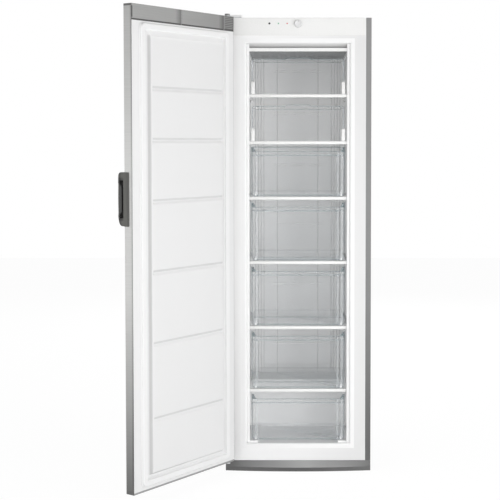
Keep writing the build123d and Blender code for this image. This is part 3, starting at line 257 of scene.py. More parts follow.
def doorSteel():
    # The door's sheet: brushed, a little darker over its face, along its inner edge and at the beads of both
    # ends, and with painted shade down the edge to its foot and up to its head.
    shader = brushed("brushedSteel", doorSheet["colour"], doorSheet["streaks"], 0.1, 0.4, Metallic=0.5)
    where = shader.shut()
    depth, height = shader.axis(where, "Y"), shader.axis(where, "Z")
    inner = shader.spread(depth, *doorSheet["inner"])
    seam = (depth > doorSheet["seam"]) * doorSheet["seamShade"]
    # painted shade: the edge grows darker towards its foot and its head
    foot, head = (shader.spread(height, *doorSheet[end]) for end in ("foot", "head"))
    lowBead, highBead = doorSheet["beads"]
    beads = ((height < lowBead) + (height > highBead)) * doorSheet["beadShade"]
    face = shader.spread(depth, *doorSheet["face"])
    ends = (foot + head) * (depth > doorSheet["edgeFront"])
    dark = (inner + seam + face + ends + beads).maths("MINIMUM", doorSheet["mostShade"])
    shader.feed(Base_Color=shader.blend(dark, shader.colour, doorSheet["shadow"]))
    return shader


def graded(shader, letter, start, end, colour):
    # Turns a finish towards another colour from start to end along an axis, and keeps it from there on.
    share = shader.spread(shader.axis(shader.place(), letter), 0.0, 1.0, start, end)
    shader.colour = shader.blend(share, shader.colour, colour)
    shader.feed(Base_Color=shader.colour)
    return shader


def silverPaint():
    # The cabinet's side sheet: a little lighter towards its head and darker towards its foot, as painted
    # light and painted shade.
    shader = moulded("silverPaint", grey(0.18), 0.05, 0.42, 0.1, 90, Metallic=0.35)
    graded(shader, "Z", 0.8, 1.8, grey(0.23))
    return graded(shader, "Z", 0.7, 0.1, grey(0.115))


def frameEnamel():
    # The front frame's white enamel: a little darker towards its right side, as painted shade.
    shader = moulded("whiteEnamel", grey(0.97), 0.01, 0.48, 0.06, 70)
    return graded(shader, "X", -0.24, 0.26, grey(0.78))


def hingePaint():
    # The hinge cover: grey over the door's corner, white over the cabinet.
    shader = moulded("hingePaint", grey(0.26), 0.02, 0.4, 0.1, 60)
    return graded(shader, "Y", -0.0045, -0.004, grey(0.9))


def guidePlastic():
    # The ceiling guide: a white bar in front of a grey plate, the plate's grey deepened as painted shade
    # under the bar.
    shader = moulded("guidePlastic", (0.89, 0.89, 0.88), 0.02, 0.3, 0.05, 40)
    return graded(shader, "Y", 0.035, 0.0355, (0.21, 0.22, 0.23))


def plinthPaint():
    # The plinth: a lighter sloping face over a darker kick band, both darker towards their two ends as
    # painted shade.
    shader = moulded("plinthPlastic", grey(0.38), 0.06, 0.42, 0.15, 60)
    graded(shader, "Z", 0.0172, 0.016, grey(0.085))
    graded(shader, "X", 0.02, -0.28, grey(0.115))
    return graded(shader, "X", 0.04, 0.3, grey(0.13))


finishes = {
    "side_steel": silverPaint(),
    "white_steel": frameEnamel(),
    "bare_steel": brushed("zincSheet", (0.55, 0.56, 0.57), (9, 9, 60), 0.08, 0.42, Metallic=0.9),
    "door_steel": doorSteel(),
    "white_liner": moulded("vacuumFormed", grey(0.94), 0.02, 0.45, 0.1, 50, grey(0.25)),
    "white_trim": moulded("glossTrim", (0.89, 0.89, 0.88), 0.02, 0.25, 0.05, 40, Coat_Weight=0.2),
    "foam": moulded("foamCore", (0.8, 0.72, 0.48), 0.1, 0.9, 0.8, 20),
    "shelf_glass": clear("shelfGlass", (0.9, 0.96, 0.94), 0.012, 0.05, 0.02, 0.01),
    "clear_plastic": clear("clearMoulding", (0.74, 0.8, 0.84), 0.02, 0.09, 0.06, 0.05),
    "gasket": moulded("softSeal", grey(0.89), 0.03, 0.62, 0.1, 40),
    "cap_grey": brushed("capStrip", (0.35, 0.35, 0.345), (3, 3, 500), 0.1, 0.45, Metallic=0.2),
    "handle_grey": moulded("handlePlastic", (0.125, 0.125, 0.115), 0.1, 0.45, 0.2, 60),
    "plinth_grey": plinthPaint(),
    "dark_plastic": moulded("darkPlastic", (0.03, 0.03, 0.032), 0.15, 0.5, 0.3, 60),
    "red_lens": moulded("redLens", (0.62, 0.05, 0.05), 0.1, 0.15, 0.02, 40),
    "green_lens": moulded("greenLens", (0.08, 0.45, 0.24), 0.1, 0.15, 0.02, 40),
    "knob_white": moulded("knobPlastic", grey(0.8), 0.03, 0.3, 0.05, 50),
    "circuit_board": moulded("solderMask", (0.04, 0.22, 0.1), 0.2, 0.35, 0.2, 90),
    "fin_aluminium": brushed("rolledFins", (0.7, 0.71, 0.72), (200, 9, 9), 0.06, 0.35, Metallic=1.0),
    "black_metal": moulded("blackEnamel", grey(0.02), 0.2, 0.35, 0.2, 60, Coat_Weight=0.4),
    "black_rubber": moulded("blackRubber", grey(0.025), 0.2, 0.75, 0.4, 80),
    "copper_line": brushed("drawnCopper", (0.7, 0.36, 0.22), (60, 60, 60), 0.06, 0.32, Metallic=1.0),
    "screw_steel": brushed("platedSteel", (0.62, 0.62, 0.6), (90, 90, 90), 0.06, 0.3, Metallic=1.0),
    "pan_grey": moulded("panPlastic", (0.12, 0.12, 0.125), 0.1, 0.5, 0.2, 60),
}
slotOf = {entry["node"]: entry["material_slot"] for entry in frame["record"]["subparts"]}
for name, node in nodes.items():
    node.data.materials.clear()
    node.data.materials.append(finishes[slotOf[name]].material)
nodes["hinge_cover"].data.materials[0] = hingePaint().material
nodes["ceiling_guide"].data.materials[0] = guidePlastic().material
print("finishes on", len(nodes), "nodes")


# Meshes: grids of points worked out as arrays, with quads between neighbouring points.
def stitch(rows, columns, wrapRows):
    # Quad (i, j) joins points (i, j), (i, j+1), (i+1, j+1) and (i+1, j). Columns start again at 0 after the
    # last one, and so do rows that wrap.
    down, across = np.meshgrid(np.arange(rows if wrapRows else rows - 1), np.arange(columns), indexing="ij")
    below, beside = (down + 1) % rows, (across + 1) % columns
    pairs = ((down, across), (down, beside), (below, beside), (below, across))
    return np.stack([row * columns + column for row, column in pairs], axis=-1).reshape(-1, 4)


class Form:
    # Grids gathered into one mesh. Each grid is a stack of closed loops, capped at both ends unless it wraps.
    # A grid may carry marks, from 0 to 1 at each point, which its finish reads: rim as painted shade, glint
    # as a painted highlight.
    def __init__(self):
        self.points, self.faces, self.count = [], [], 0
        self.marks = {"rim": [], "glint": []}

    def add(self, grid, wrapRows=False, **marks):
        rows, columns = grid.shape[:2]
        for name, values in self.marks.items():
            values.append(np.broadcast_to(np.asarray(marks.get(name, 0.0), float), (rows, columns)).ravel())
        quads = stitch(rows, columns, wrapRows) + self.count
        self.faces += quads.tolist()
        if not wrapRows:
            ends = [np.arange(columns), np.arange(columns) + (rows - 1) * columns]
            self.faces += [(end + self.count).tolist() for end in ends]
        self.points.append(grid.reshape(-1, 3))
        self.count += rows * columns
        return self

    def make(self, name, slot, body, replaced=(), sharp=38.0, merge=2e-6):
        mesh = bpy.data.meshes.new(name)
        mesh.from_pydata(np.concatenate(self.points).tolist(), [], self.faces)
        for mark, values in self.marks.items():
            values = np.concatenate(values)
            if values.any():
                mesh.attributes.new(mark, "FLOAT", "POINT").data.foreach_set("value", values)
        work = bmesh.new()
        work.from_mesh(mesh)
        bmesh.ops.remove_doubles(work, verts=work.verts, dist=merge)
        bmesh.ops.recalc_face_normals(work, faces=work.faces)
        work.to_mesh(mesh)
        work.free()
        mesh.shade_smooth()
        mesh.set_sharp_from_angle(angle=math.radians(sharp))
        piece = linked(bpy.data.objects.new(name, mesh))
        mesh.materials.append(finishes[slot].material)
        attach(piece, body)
        for node in replaced:
            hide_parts(node)


def eased(corners, reach, steps=6):
    # Each corner b of a closed path becomes (1-t)^2 a + 2t(1-t) b + t^2 c, with a and c at reach from b.
    corners = np.array(corners, float)
    reach = np.broadcast_to(np.array(reach, float), len(corners))[:, None]
    before, after = np.roll(corners, 1, 0) - corners, np.roll(corners, -1, 0) - corners
    a = corners + before / np.linalg.norm(before, axis=1, keepdims=True) * reach
    c = corners + after / np.linalg.norm(after, axis=1, keepdims=True) * reach
    t = np.linspace(0, 1, steps)[None, :, None]
    curve = (1 - t) ** 2 * a[:, None] + 2 * t * (1 - t) * corners[:, None] + t * t * c[:, None]
    return curve.reshape(-1, 2)


def loops(halfU, halfV, radius, corner=8, side=1):
    # Rounded rectangles, one a row: point = sign * (half - radius) + radius * (cos a, sin a), with the
    # sign pair held through each corner's quarter turn and sliding to the next corner's along a side.
    signs = np.array([(1, 1), (-1, 1), (-1, -1), (1, -1)], float)
    following = np.roll(signs, -1, 0)
    turn = np.linspace(0, 1, corner)
    slide = np.linspace(0, 1, side + 1)[1:-1]
    quarter = np.arange(4)[:, None]
    angle = np.concatenate([quarter + turn, np.repeat(quarter + 1, len(slide), 1)], 1).ravel() * math.pi / 2
    held = np.repeat(signs[:, None], corner, 1)
    sliding = signs[:, None] * (1 - slide[:, None]) + following[:, None] * slide[:, None]
    sign = np.concatenate([held, sliding], 1).reshape(-1, 2)
    sizes = np.broadcast_arrays(halfU, halfV, radius)
    halfU, halfV, radius = (np.atleast_1d(value)[:, None] for value in sizes)
    u = sign[:, 0] * (halfU - radius) + radius * np.cos(angle)
    v = sign[:, 1] * (halfV - radius) + radius * np.sin(angle)
    return u, v


def smooth(t):
    # 3t^2 - 2t^3 between 0 and 1, flat outside.
    t = np.clip(t, 0, 1)
    return t * t * (3 - 2 * t)


def waves(at, pitch):
    # 0.5 + 0.5 * cos(2 pi at / pitch).
    return 0.5 + 0.5 * np.cos(at / pitch * 2 * np.pi)


def lines(*spans):
    # Sorted grid lines: each span gives its start, its end and the number of steps between them.
    return np.unique(np.round(np.concatenate([np.linspace(a, b, n + 1) for a, b, n in spans]), 6))


def near(place, before, after, steps):
    # A span of finer grid lines about a place.
    return place - before, place + after, steps


def turns(count):
    # The angles of a whole turn in equal steps.
    return np.linspace(0, 2 * np.pi, count + 1)[:-1]


def halved(low, high):
    # Half the length of a span, and its middle.
    return (high - low) / 2, (high + low) / 2


def between(first, second, share):
    # first where the share is 0, second where it is 1.
    return first + (second - first) * share


def xyz(x, y, z):
    return np.stack(np.broadcast_arrays(x, y, z), axis=-1)


def closed(front, x, values, shade):
    # A sheet's front grid and its marks, with two rows of unmarked points behind it, at its top and its foot.
    backs = [xyz(x, values["back"], np.full(len(x), values[end]))[:, None] for end in ("high", "low")]
    return np.concatenate([front, *backs], 1), np.concatenate([shade, np.zeros((len(x), 2))], 1)


# Door liner: y = base + rise * smooth(distance inside the panel's outline / draft) * (distance below its top
# / topDraft, up to 1) - the grooves across it. Marks of painted shade: an even shade off the top's slope, so
# that the slope reads lighter, and more on the free side's step, at the foot and above each groove.
liner = {
    "half": 0.2967, "low": 0.0535, "high": 1.794, "back": -0.014, "base": -0.012, "rise": 0.016,
    "draft": 0.013, "topDraft": 0.036, "slopeFade": 0.004, "tint": 0.16,
    "panelHalf": 0.219, "panelLow": 0.107, "panelHigh": 1.775, "panelRound": 0.004,
    "stepShade": 0.3, "stepHigh": 1.749, "stepFade": 0.01,
    "footLine": 0.0045, "footFade": 0.001, "footShade": 0.75,
    "grooves": (1.548, 1.357, 1.13, 0.866, 0.598, 0.316), "grooveHalf": 0.2065, "grooveEase": 0.006,
    "grooveHeight": 0.011, "grooveDepth": 0.0042, "grooveShade": 0.22,
}
edge, panelHigh = liner["panelHalf"], liner["panelHigh"]
x = lines((-liner["half"], liner["half"], 40), near(-edge, 0.002, 0.034, 24), near(edge, 0.034, 0.002, 24))
z = lines(
    (liner["low"], liner["high"], 110),
    near(liner["low"], 0, 0.008, 10),
    near(liner["panelLow"], 0.002, 0.03, 22),
    near(panelHigh, 0.038, 0.002, 24),
    *[near(level, 0.012, 0.012, 20) for level in liner["grooves"]],
)
gridX, gridZ = np.meshgrid(x, z, indexing="ij")
reachZ, middle = halved(liner["panelLow"], panelHigh)
awayX = np.abs(gridX) - edge + liner["panelRound"]
awayZ = middle - gridZ - reachZ + liner["panelRound"]
outside = np.hypot(np.maximum(awayX, 0), np.maximum(awayZ, 0)) + np.minimum(np.maximum(awayX, awayZ), 0)
climb = smooth((liner["panelRound"] - outside) / liner["draft"])
height = liner["base"] + liner["rise"] * climb * np.clip((panelHigh - gridZ) / liner["topDraft"], 0, 1)
step = smooth(4 * climb * (1 - climb)) * (gridX > 0)
# painted shade on the free side's step and along the foot
shade = liner["stepShade"] * step * smooth((liner["stepHigh"] - gridZ) / liner["stepFade"])
shade += liner["footShade"] * smooth((liner["low"] + liner["footLine"] - gridZ) / liner["footFade"])
ends = smooth((liner["grooveHalf"] - np.abs(gridX)) / liner["grooveEase"])
for level in liner["grooves"]:
    away = (gridZ - level) / liner["grooveHeight"]
    height -= liner["grooveDepth"] * ends * smooth(1 - np.abs(away))
    shade += liner["grooveShade"] * ends * smooth(1.3 - 2.2 * np.abs(away - 0.5))
slopeFoot = panelHigh - liner["topDraft"] - liner["slopeFade"]
onSlope = climb * smooth((gridZ - slopeFoot) / liner["slopeFade"])
# painted shade, even over the panel and left off the top's slope
shade += liner["tint"] * (1 - onSlope)
grid, rim = closed(xyz(gridX, height, gridZ), x, liner, shade)
Form().add(swing(grid), rim=rim).make("linerPanel", "white_liner", "door", ["door_liner"], sharp=50)

# Top strip: fine lines along it, two upright seams with a ramp beside each that the sheet dips into, a ribbed
# block by the hinge, a slit at the free end and a shadow gap underneath. Depth and marks are functions of x
# and z: for each feature its share, from 0 to 1, times its dip or its shade. The shade beside and along the
# seams, on the ribbed block, in the slit, in the gap and at the hinge end is painted shade, and so is the
# drift darker from the middle seam towards the hinge.
strip = {
    "half": 0.2966, "low": 1.7945, "high": 1.8525, "back": -0.0121, "face": -0.0113,
    "fineX": ((-0.245, -0.19, 40), (0.015, 0.07, 40), (0.286, 0.2966, 16)),
    "seams": (0.0215, -0.2375), "seamHalf": 0.0075, "seamShade": 0.28, "seamDip": 0.0005,
    "rampWidth": 0.036, "rampShade": 0.66, "rampDip": 0.0003,
    "blockEase": 0.003, "blockShade": 0.24,
    "ribPitch": 0.0068, "ribShade": 0.66, "ribDip": 0.0004,
    "linePitch": 0.0042, "lineShade": 0.06, "lineDip": 0.00008,
    "driftWidth": 0.2, "driftShade": 0.17,
    "gap": 0.0064, "gapEase": 0.0012, "gapShade": 0.95, "gapDip": 0.0004,
    "slit": (0.2915, 1.803, 1.846), "slitEase": 0.002, "slitShade": 0.92, "slitDip": 0.0006,
    "hingeEnd": -0.2925, "hingeEase": 0.0015, "hingeShade": 0.75,
}
x = lines((-strip["half"], strip["half"], 90), *strip["fineX"])
z = lines((strip["low"], strip["high"], 58), near(strip["low"], 0, 0.008, 12))
gridX, gridZ = np.meshgrid(x, z, indexing="ij")
shade, sunk = np.zeros_like(gridX), np.zeros_like(gridX)
for seam in strip["seams"]:
    away = gridX - seam
    ramp = (away > 0) * np.clip(1 - away / strip["rampWidth"], 0, 1)
    line = smooth(1 - np.abs(away) / strip["seamHalf"])
    shade = np.maximum(shade, strip["rampShade"] * ramp + strip["seamShade"] * line)
    sunk = np.maximum(sunk, strip["rampDip"] * ramp + strip["seamDip"] * line)
middleSeam, blockSeam = strip["seams"]
block = smooth((blockSeam - strip["blockEase"] - gridX) / strip["blockEase"])
ribs, fineLines = waves(gridZ, strip["ribPitch"]), waves(gridZ, strip["linePitch"]) * (1 - block)
# painted shade drifting darker towards the hinge
drift = np.clip((middleSeam - gridX) / strip["driftWidth"], 0, 1) * (1 - block)
shade = np.maximum(shade, block * (strip["blockShade"] + strip["ribShade"] * ribs))
shade += strip["lineShade"] * fineLines + strip["driftShade"] * drift
sunk = np.maximum(sunk, strip["ribDip"] * ribs * block) + strip["lineDip"] * fineLines
gap = smooth((strip["low"] + strip["gap"] - gridZ) / strip["gapEase"])
slitX, slitLow, slitHigh = strip["slit"]
slit = smooth((gridZ - slitLow) / strip["slitEase"]) * smooth((slitHigh - gridZ) / strip["slitEase"])
slit *= gridX > slitX
hingeEnd = smooth((strip["hingeEnd"] - gridX) / strip["hingeEase"])
darker = (strip["gapShade"] * gap, strip["slitShade"] * slit, strip["hingeShade"] * hingeEnd)
shade = np.maximum.reduce([shade, *darker])
sunk = np.maximum.reduce([sunk, strip["gapDip"] * gap, strip["slitDip"] * slit])
grid, rim = closed(xyz(gridX, strip["face"] - sunk, gridZ), x, strip, shade)
Form().add(swing(grid), rim=rim).make("topStripFace", "cap_grey", "door", sharp=50)

# Door seal: a hollow-looking bellows section, as (inset, depth), carried round a rounded rectangle.
seal = {
    "outerHalf": 0.26,
    "low": 0.068, "high": 1.79, "round": 0.024, "ease": 0.0011,
    "section": (
        (0.0, -0.012), (0.0, -0.0092), (0.0045, -0.008), (0.003, -0.003), (0.006, -0.0004),
        (0.024, -0.0004), (0.027, -0.003), (0.0255, -0.008), (0.03, -0.0092), (0.03, -0.012),
    ),
}
inset, lift = eased(seal["section"], seal["ease"], 4).T
sealHalf, sealMiddle = halved(seal["low"], seal["high"])
u, v = loops(seal["outerHalf"] - inset, sealHalf - inset, seal["round"] - inset, 10, 2)
sealForm = Form().add(swing(xyz(u, lift[:, None], v + sealMiddle)), wrapRows=True)
sealForm.make("softSeal", "gasket", "door", ["door_gasket"])

# Handle: a flat loop in front of the door's face, and the plate that holds it to the door's edge. The
# loop's front bows outwards along its length and slants back at the foot, and the bar is fuller in the
# middle than at the slot's two ends. Painted shade darkens the loop's front, the slot and the plate's
# back edge.
grip = {
    "frontY": -0.0826, "backY": -0.0529, "low": 1.042, "high": 1.241, "innerX": 0.273, "outerX": 0.301,
    "outerRound": 0.0065,
    "slotFront": -0.064, "slotBack": -0.0545, "slotLow": 1.074, "slotHigh": 1.209, "slotRound": 0.0042,
    "squareness": 0.5, "bow": 0.004,
    "slant": 0.007, "slantHigh": 1.078, "slantFade": 0.034,
    "widen": 0.011, "widenFrom": 0.048, "widenFade": 0.014,
    "frontShade": 0.5,
    "slotShade": 0.6, "slotFade": 0.3,
    "mostShade": 0.93,
    "plateX": 0.2975, "plateBack": -0.0276, "plateRound": 0.004,
    "plateInsets": (0.0008, 0.0, 0.0, 0.0012, 0.0026),
    "plateDepths": (0.0, 0.0008, 0.0024, 0.0034, 0.0035), "plateShade": 0.4, "plateShadeWide": 0.0065,
    "plateShadeFade": 0.002,
}


def rounder(values):
    # The sign of each value times its size to the power of the section's squareness.
    return np.sign(values) * np.abs(values) ** grip["squareness"]


# Section of the loop: a superellipse between the outer outline (share 0) and the slot (share 1).
turn = turns(36)
share, across = 0.5 - 0.5 * rounder(np.cos(turn)), rounder(np.sin(turn))
front = between(grip["frontY"], grip["slotFront"], share)
back = between(grip["backY"], grip["slotBack"], share)
low, high = between(grip["low"], grip["slotLow"], share), between(grip["high"], grip["slotHigh"], share)
(halfY, middleY), (halfZ, middleZ) = halved(front, back), halved(low, high)
gripHalf, gripMiddle = halved(grip["low"], grip["high"])
u, v = loops(halfY, halfZ, between(grip["outerRound"], grip["slotRound"], share), 10, 14)
inner = share[:, None]
frontShare = smooth(0.5 - u / halfY[:, None])
heights = v + middleZ[:, None]
fromMiddle = (heights - gripMiddle) / gripHalf
slanted = grip["slant"] * smooth((grip["slantHigh"] - heights) / grip["slantFade"])
bowed = grip["bow"] * fromMiddle**2 + slanted
fromSlot = np.abs(heights - middleZ[:, None])
widened = grip["widen"] * smooth((fromSlot - grip["widenFrom"]) / grip["widenFade"])
depths = u + middleY[:, None] + frontShare * (bowed * (1 - inner) - widened * inner)
gripX = between(grip["innerX"], grip["outerX"], (across + 1) / 2)[:, None]
# painted shade on the loop's front and about the slot
shade = grip["frontShade"] * frontShare + grip["slotShade"] * smooth((inner - 0.5) / grip["slotFade"])
shade = np.clip(shade, 0, grip["mostShade"])
handleForm = Form().add(swing(xyz(gripX, depths, heights)), wrapRows=True, rim=shade)
insets = np.array(grip["plateInsets"])
plateX = grip["plateX"] + np.array(grip["plateDepths"])
plateHalf, plateMiddle = halved(grip["slotBack"], grip["plateBack"])
u, v = loops(plateHalf - insets, gripHalf - insets, grip["plateRound"], 8, 12)
# painted shade along the plate's back edge
shade = grip["plateShade"] * smooth((u - plateHalf + grip["plateShadeWide"]) / grip["plateShadeFade"])
handleForm.add(swing(xyz(plateX[:, None], u + plateMiddle, v + gripMiddle)), rim=shade)
handleForm.make("gripLoop", "handle_grey", "door", ["handle"])
print("door liner, seal and handle made")

# Air duct: y = front - raise * (inside the channel) + grooves, louvres and the fan's ring grille.
duct = {
    "half": 0.2095, "low": 0.318, "high": 1.75, "front": 0.46, "back": 0.463, "raise": 0.006,
    "channelHalf": 0.152, "channelLow": 0.348, "channelHigh": 1.721,
    "draft": 0.004,
    "grooves": (0.0905, 0.163, 0.176, 0.188), "grooveHalf": 0.0022, "grooveDepth": 0.0016,
    "grooveShade": 0.45,
    "louvreX": (-0.08, 0.0, 0.08), "louvreHalf": 0.03, "louvreEase": 0.003, "louvreHeight": 0.0025,
    "louvreDepth": 0.0018, "louvreSlope": 1.6, "louvreTilt": 0.4, "louvreRise": (0.115, 0.125),
    "fanZ": 0.745, "fanRadius": 0.022, "fanEase": 0.002,
    "ringPitch": 0.0055, "ringDepth": 0.0016,
}
shelfTops = (1.546, 1.355, 1.128, 0.864, 0.596, 0.336)
xSpans = [(-duct["half"], duct["half"], 90), near(0, 0.026, 0.026, 40)]
for place in (*duct["grooves"], duct["channelHalf"] - duct["draft"] / 2):
    xSpans += [near(side * place, 0.004, 0.004, 12) for side in (-1, 1)]
louvreZ = [top + rise for top in shelfTops for rise in duct["louvreRise"]]
zSpans = [(duct["low"], duct["high"], 120), near(duct["fanZ"], 0.026, 0.026, 40)]
zSpans += [near(level, 0.004, 0.004, 8) for level in louvreZ]
x, z = lines(*xSpans), lines(*zSpans)
gridX, gridZ = np.meshgrid(x, z, indexing="ij")
inwardZ = np.minimum(gridZ - duct["channelLow"], duct["channelHigh"] - gridZ)
inward = np.minimum(duct["channelHalf"] - np.abs(gridX), inwardZ)
depth = duct["front"] - duct["raise"] * smooth(inward / duct["draft"])
shade = np.zeros_like(gridX)
# painted shade along the grooves
for place in duct["grooves"]:
    dip = smooth(1 - np.abs(np.abs(gridX) - place) / duct["grooveHalf"])
    depth += duct["grooveDepth"] * dip
    shade += duct["grooveShade"] * dip
for level in louvreZ:
    across = (gridZ - level) / duct["louvreHeight"]
    opening = smooth((1 - np.abs(across)) * duct["louvreSlope"]) * (1 + duct["louvreTilt"] * (across - 1))
    for place in duct["louvreX"]:
        insideX = smooth((duct["louvreHalf"] - np.abs(gridX - place)) / duct["louvreEase"])
        depth += duct["louvreDepth"] * insideX * opening
fromFan = np.hypot(gridX, gridZ - duct["fanZ"])
rings = smooth((duct["fanRadius"] - fromFan) / duct["fanEase"]) * waves(fromFan, duct["ringPitch"])
grid, rim = closed(xyz(gridX, depth + duct["ringDepth"] * rings, gridZ), x, duct, shade)
Form().add(grid, rim=rim).make("airDuct", "white_liner", "cabinet", ["duct_cover"], sharp=50)
print("air duct made")

# Shelf bars: a rounded front section carried along x; the slot behind takes the plate's edge.
bar = {
    "half": 0.203, "front": 0.014, "back": 0.034, "height": 0.013, "skin": 0.0013,
    "slotFoot": 0.0057, "slotDepth": 0.006,
    "toe": 0.002, "toeDepths": (0.01, 0.009),
    "eases": (0.0032, 0.0032, 0.0004, 0.0003, 0.0003, 0.0003, 0.0003, 0.0006, 0.0006, 0.0006),
    "endPlaces": (1, 0.9985, 0.995, 0.99), "endShrinks": (0.22, 0.1, 0.03, 0),
}


def barSection(top):
    # Front edge well rounded, a shallow lip hanging in front, a notch behind.
    front, back, low = bar["front"], bar["back"], top - bar["height"]
    slotFront, slotHigh, slotLow = front + bar["slotDepth"], top - bar["skin"], top - bar["slotFoot"]
    toeHigh, toes = low + bar["toe"], [front + depth for depth in bar["toeDepths"]]
    corners = [(front, low), (front, top), (back, top), (back, slotHigh), (slotFront, slotHigh)]
    corners += [(slotFront, slotLow), (back, slotLow), (back, toeHigh), (toes[0], toeHigh), (toes[1], low)]
    return eased(corners, bar["eases"])


def swept(section, xs, shrink):
    # The section repeated along x; shrink draws it towards its middle near the two ends.
    middle = section.mean(0)
    rows = middle + (section[None] - middle) * (1 - shrink[:, None, None])
    return xyz(xs[:, None], rows[..., 0], rows[..., 1])


endPlaces, endShrinks = np.array(bar["endPlaces"]), np.array(bar["endShrinks"])
barXs = bar["half"] * np.concatenate([-endPlaces, endPlaces[::-1]])
barShrink = np.concatenate([endShrinks, endShrinks[::-1]])
barForm = Form()
for top in shelfTops:
    barForm.add(swept(barSection(top), barXs, barShrink))
barForm.make("shelfBars", "white_trim", "cabinet", ["shelf_trims"])

# Cove under the cavity's ceiling: an eased section carried along x, with painted shade that darkens
# towards its foot.
cove = {
    "half": 0.2095, "ceiling": 1.7512, "start": 0.01,
    "steps": ((0.01, 1.7507), (0.014, 1.7492), (0.025, 1.743), (0.034, 1.7343)), "end": 0.0345,
    "eases": (0.0002, 0.0003, 0.0014, 0.004, 0.0003, 0.0002), "shade": 0.22,
    "footShade": 0.46, "footFade": 0.017,
}
coveLine = [(cove["start"], cove["ceiling"]), *cove["steps"], (cove["end"], cove["ceiling"])]
coveSection = eased(coveLine, cove["eases"])
coveXs = cove["half"] * np.linspace(-1, 1, 6)
below = cove["ceiling"] - coveSection[None, :, 1]
shade = cove["shade"] + cove["footShade"] * smooth(below / cove["footFade"])
coveForm = Form().add(swept(coveSection, coveXs, np.zeros(6)), rim=shade)
coveForm.make("ceilingCove", "white_liner", "cabinet")

# Mouth rails: an upright white bar just inside each side of the cavity's mouth, its ends drawn in.
rail = {
    "x": 0.2042, "half": 0.0057, "front": 0.0072, "back": 0.0128, "low": 0.1135, "high": 1.75,
    "round": 0.0022,
    "drawnIn": 0.0016 * np.array([1, 0.3, 0, 0, 0.3, 1]),
    "narrower": 0.4, "places": np.array([0, 0.001, 0.004, 0.996, 0.999, 1]),
}
railForm = Form()
railZ = rail["places"] * (rail["high"] - rail["low"]) + rail["low"]
railHalf, railMiddle = halved(rail["front"], rail["back"])
u, v = loops(rail["half"] - rail["drawnIn"] * rail["narrower"], railHalf - rail["drawnIn"], rail["round"], 6)
for side in (-1, 1):
    railForm.add(xyz(u + side * rail["x"], v + railMiddle, railZ[:, None]))
railForm.make("mouthRails", "white_liner", "cabinet")

# Flap brackets: eased white blocks, one at each end of the two upper shelves.
bracket = {
    "x": 0.184, "half": 0.007, "front": 0.014, "depth": 0.014, "height": 0.05, "round": 0.003,
    "drawnIn": 0.0016 * np.array([1, 0.35, 0, 0, 0.35, 1]),
    "places": np.array([0, 0.03, 0.12, 0.88, 0.97, 1]),
}
depths = bracket["front"] + bracket["depth"] * bracket["places"]
halfX, halfZ = bracket["half"] - bracket["drawnIn"], bracket["height"] / 2 - bracket["drawnIn"]
u, v = loops(halfX, halfZ, bracket["round"])
bracketForm = Form()
for top in shelfTops[:2]:
    for side in (-1, 1):
        bracketForm.add(xyz(u + side * bracket["x"], depths[:, None], v + top + bracket["height"] / 2))
bracketForm.make("flapBrackets", "white_trim", "cabinet", ["flap_brackets"])

# Flaps: a clear sheet with a turned-back rim and a ledge under it, a raised grip in the middle, and corners
# cut for the brackets. The section's points are depth and share of the sheet's height.
flap = {
    "half": 0.188,
    "fineX": ((0.182, 0.188, 6), (0.172, 0.178, 6), (0.04, 0.058, 12)),
    "section": (
        (0.02, 0.0), (0.02, 0.975), (0.02, 1.0), (0.032, 1.0), (0.032, 0.9845), (0.023, 0.9845),
        (0.023, 0.915), (0.032, 0.915), (0.032, 0.9), (0.023, 0.9), (0.023, 0.0),
    ),
    "ease": 0.0006, "low": 0.0045, "high": 0.142,
    "cut": 0.054, "cutX": 0.1745, "cutEase": 0.003,
    "corner": 0.005, "cornerWide": 0.006,
    "gripHalf": 0.056, "gripEase": 0.014, "gripHeight": 0.006, "gripFrom": 0.93, "gripFade": 0.05,
    "edgeShade": 0.9,
    "endWide": 0.005, "endFade": 0.002, "endShade": 0.55,
    "pivot": (0.0205, 0.01), "rods": ((0.17, 0.1755, 0.0045), (0.17, 0.186, 0.0029)),
}
mirrored = [(-end, -start, steps) for start, end, steps in flap["fineX"]]
flapXs = lines((-flap["half"], flap["half"], 60), *flap["fineX"], *mirrored)
fromMiddle = np.abs(flapXs)
depths, shares = eased(flap["section"], flap["ease"], 3).T
# Painted shade along the dark edges: the turned-back rim and the ledge, the sheet's upper edge, and both
# ends.
rimmed = (depths > 0.0305) | ((depths < 0.0205) & (shares > 0.99))
ended = smooth((fromMiddle[:, None] - flap["half"] + flap["endWide"]) / flap["endFade"])
flapShade = np.maximum(flap["edgeShade"] * rimmed[None, :], flap["endShade"] * ended)
cut = smooth((fromMiddle - flap["cutX"]) / flap["cutEase"] + 0.5)
hump = flap["gripHeight"] * smooth((flap["gripHalf"] - fromMiddle) / flap["gripEase"])
fromCorner = (fromMiddle - flap["half"] + flap["cornerWide"]) / flap["cornerWide"]
corner = flap["corner"] * smooth(fromCorner) ** 2


def rod(start, end, radius, ease=0.0004, count=20):
    # A round bar along x, its ends eased.
    turn = turns(count)
    xs = np.array([start[0], start[0] + ease, end - ease, end])
    radii = radius - np.array([ease, 0, 0, ease])
    u, v = radii[:, None] * np.cos(turn), radii[:, None] * np.sin(turn)
    return xyz(xs[:, None], start[1] + u, start[2] + v)


for name, body, top in zip(("upperFlap", "lowerFlap"), ("upper_flap", "lower_flap"), shelfTops):
    low = top + flap["low"] + (flap["cut"] - flap["low"]) * cut
    high = top + flap["high"] - corner
    heights = low[:, None] + (high - low)[:, None] * shares
    heights += hump[:, None] * smooth((shares - flap["gripFrom"]) / flap["gripFade"])
    form = Form().add(xyz(flapXs[:, None], depths, heights), rim=flapShade)
    pivotY, pivotZ = flap["pivot"][0], top + flap["pivot"][1]
    for side in (-1, 1):
        for inner, outer, radius in flap["rods"]:
            start, end = sorted((side * inner, side * outer))
            form.add(rod((start, pivotY, pivotZ), end, radius))
    form.make(name, "clear_plastic", body, [body])
print("shelf bars, brackets and flaps made")

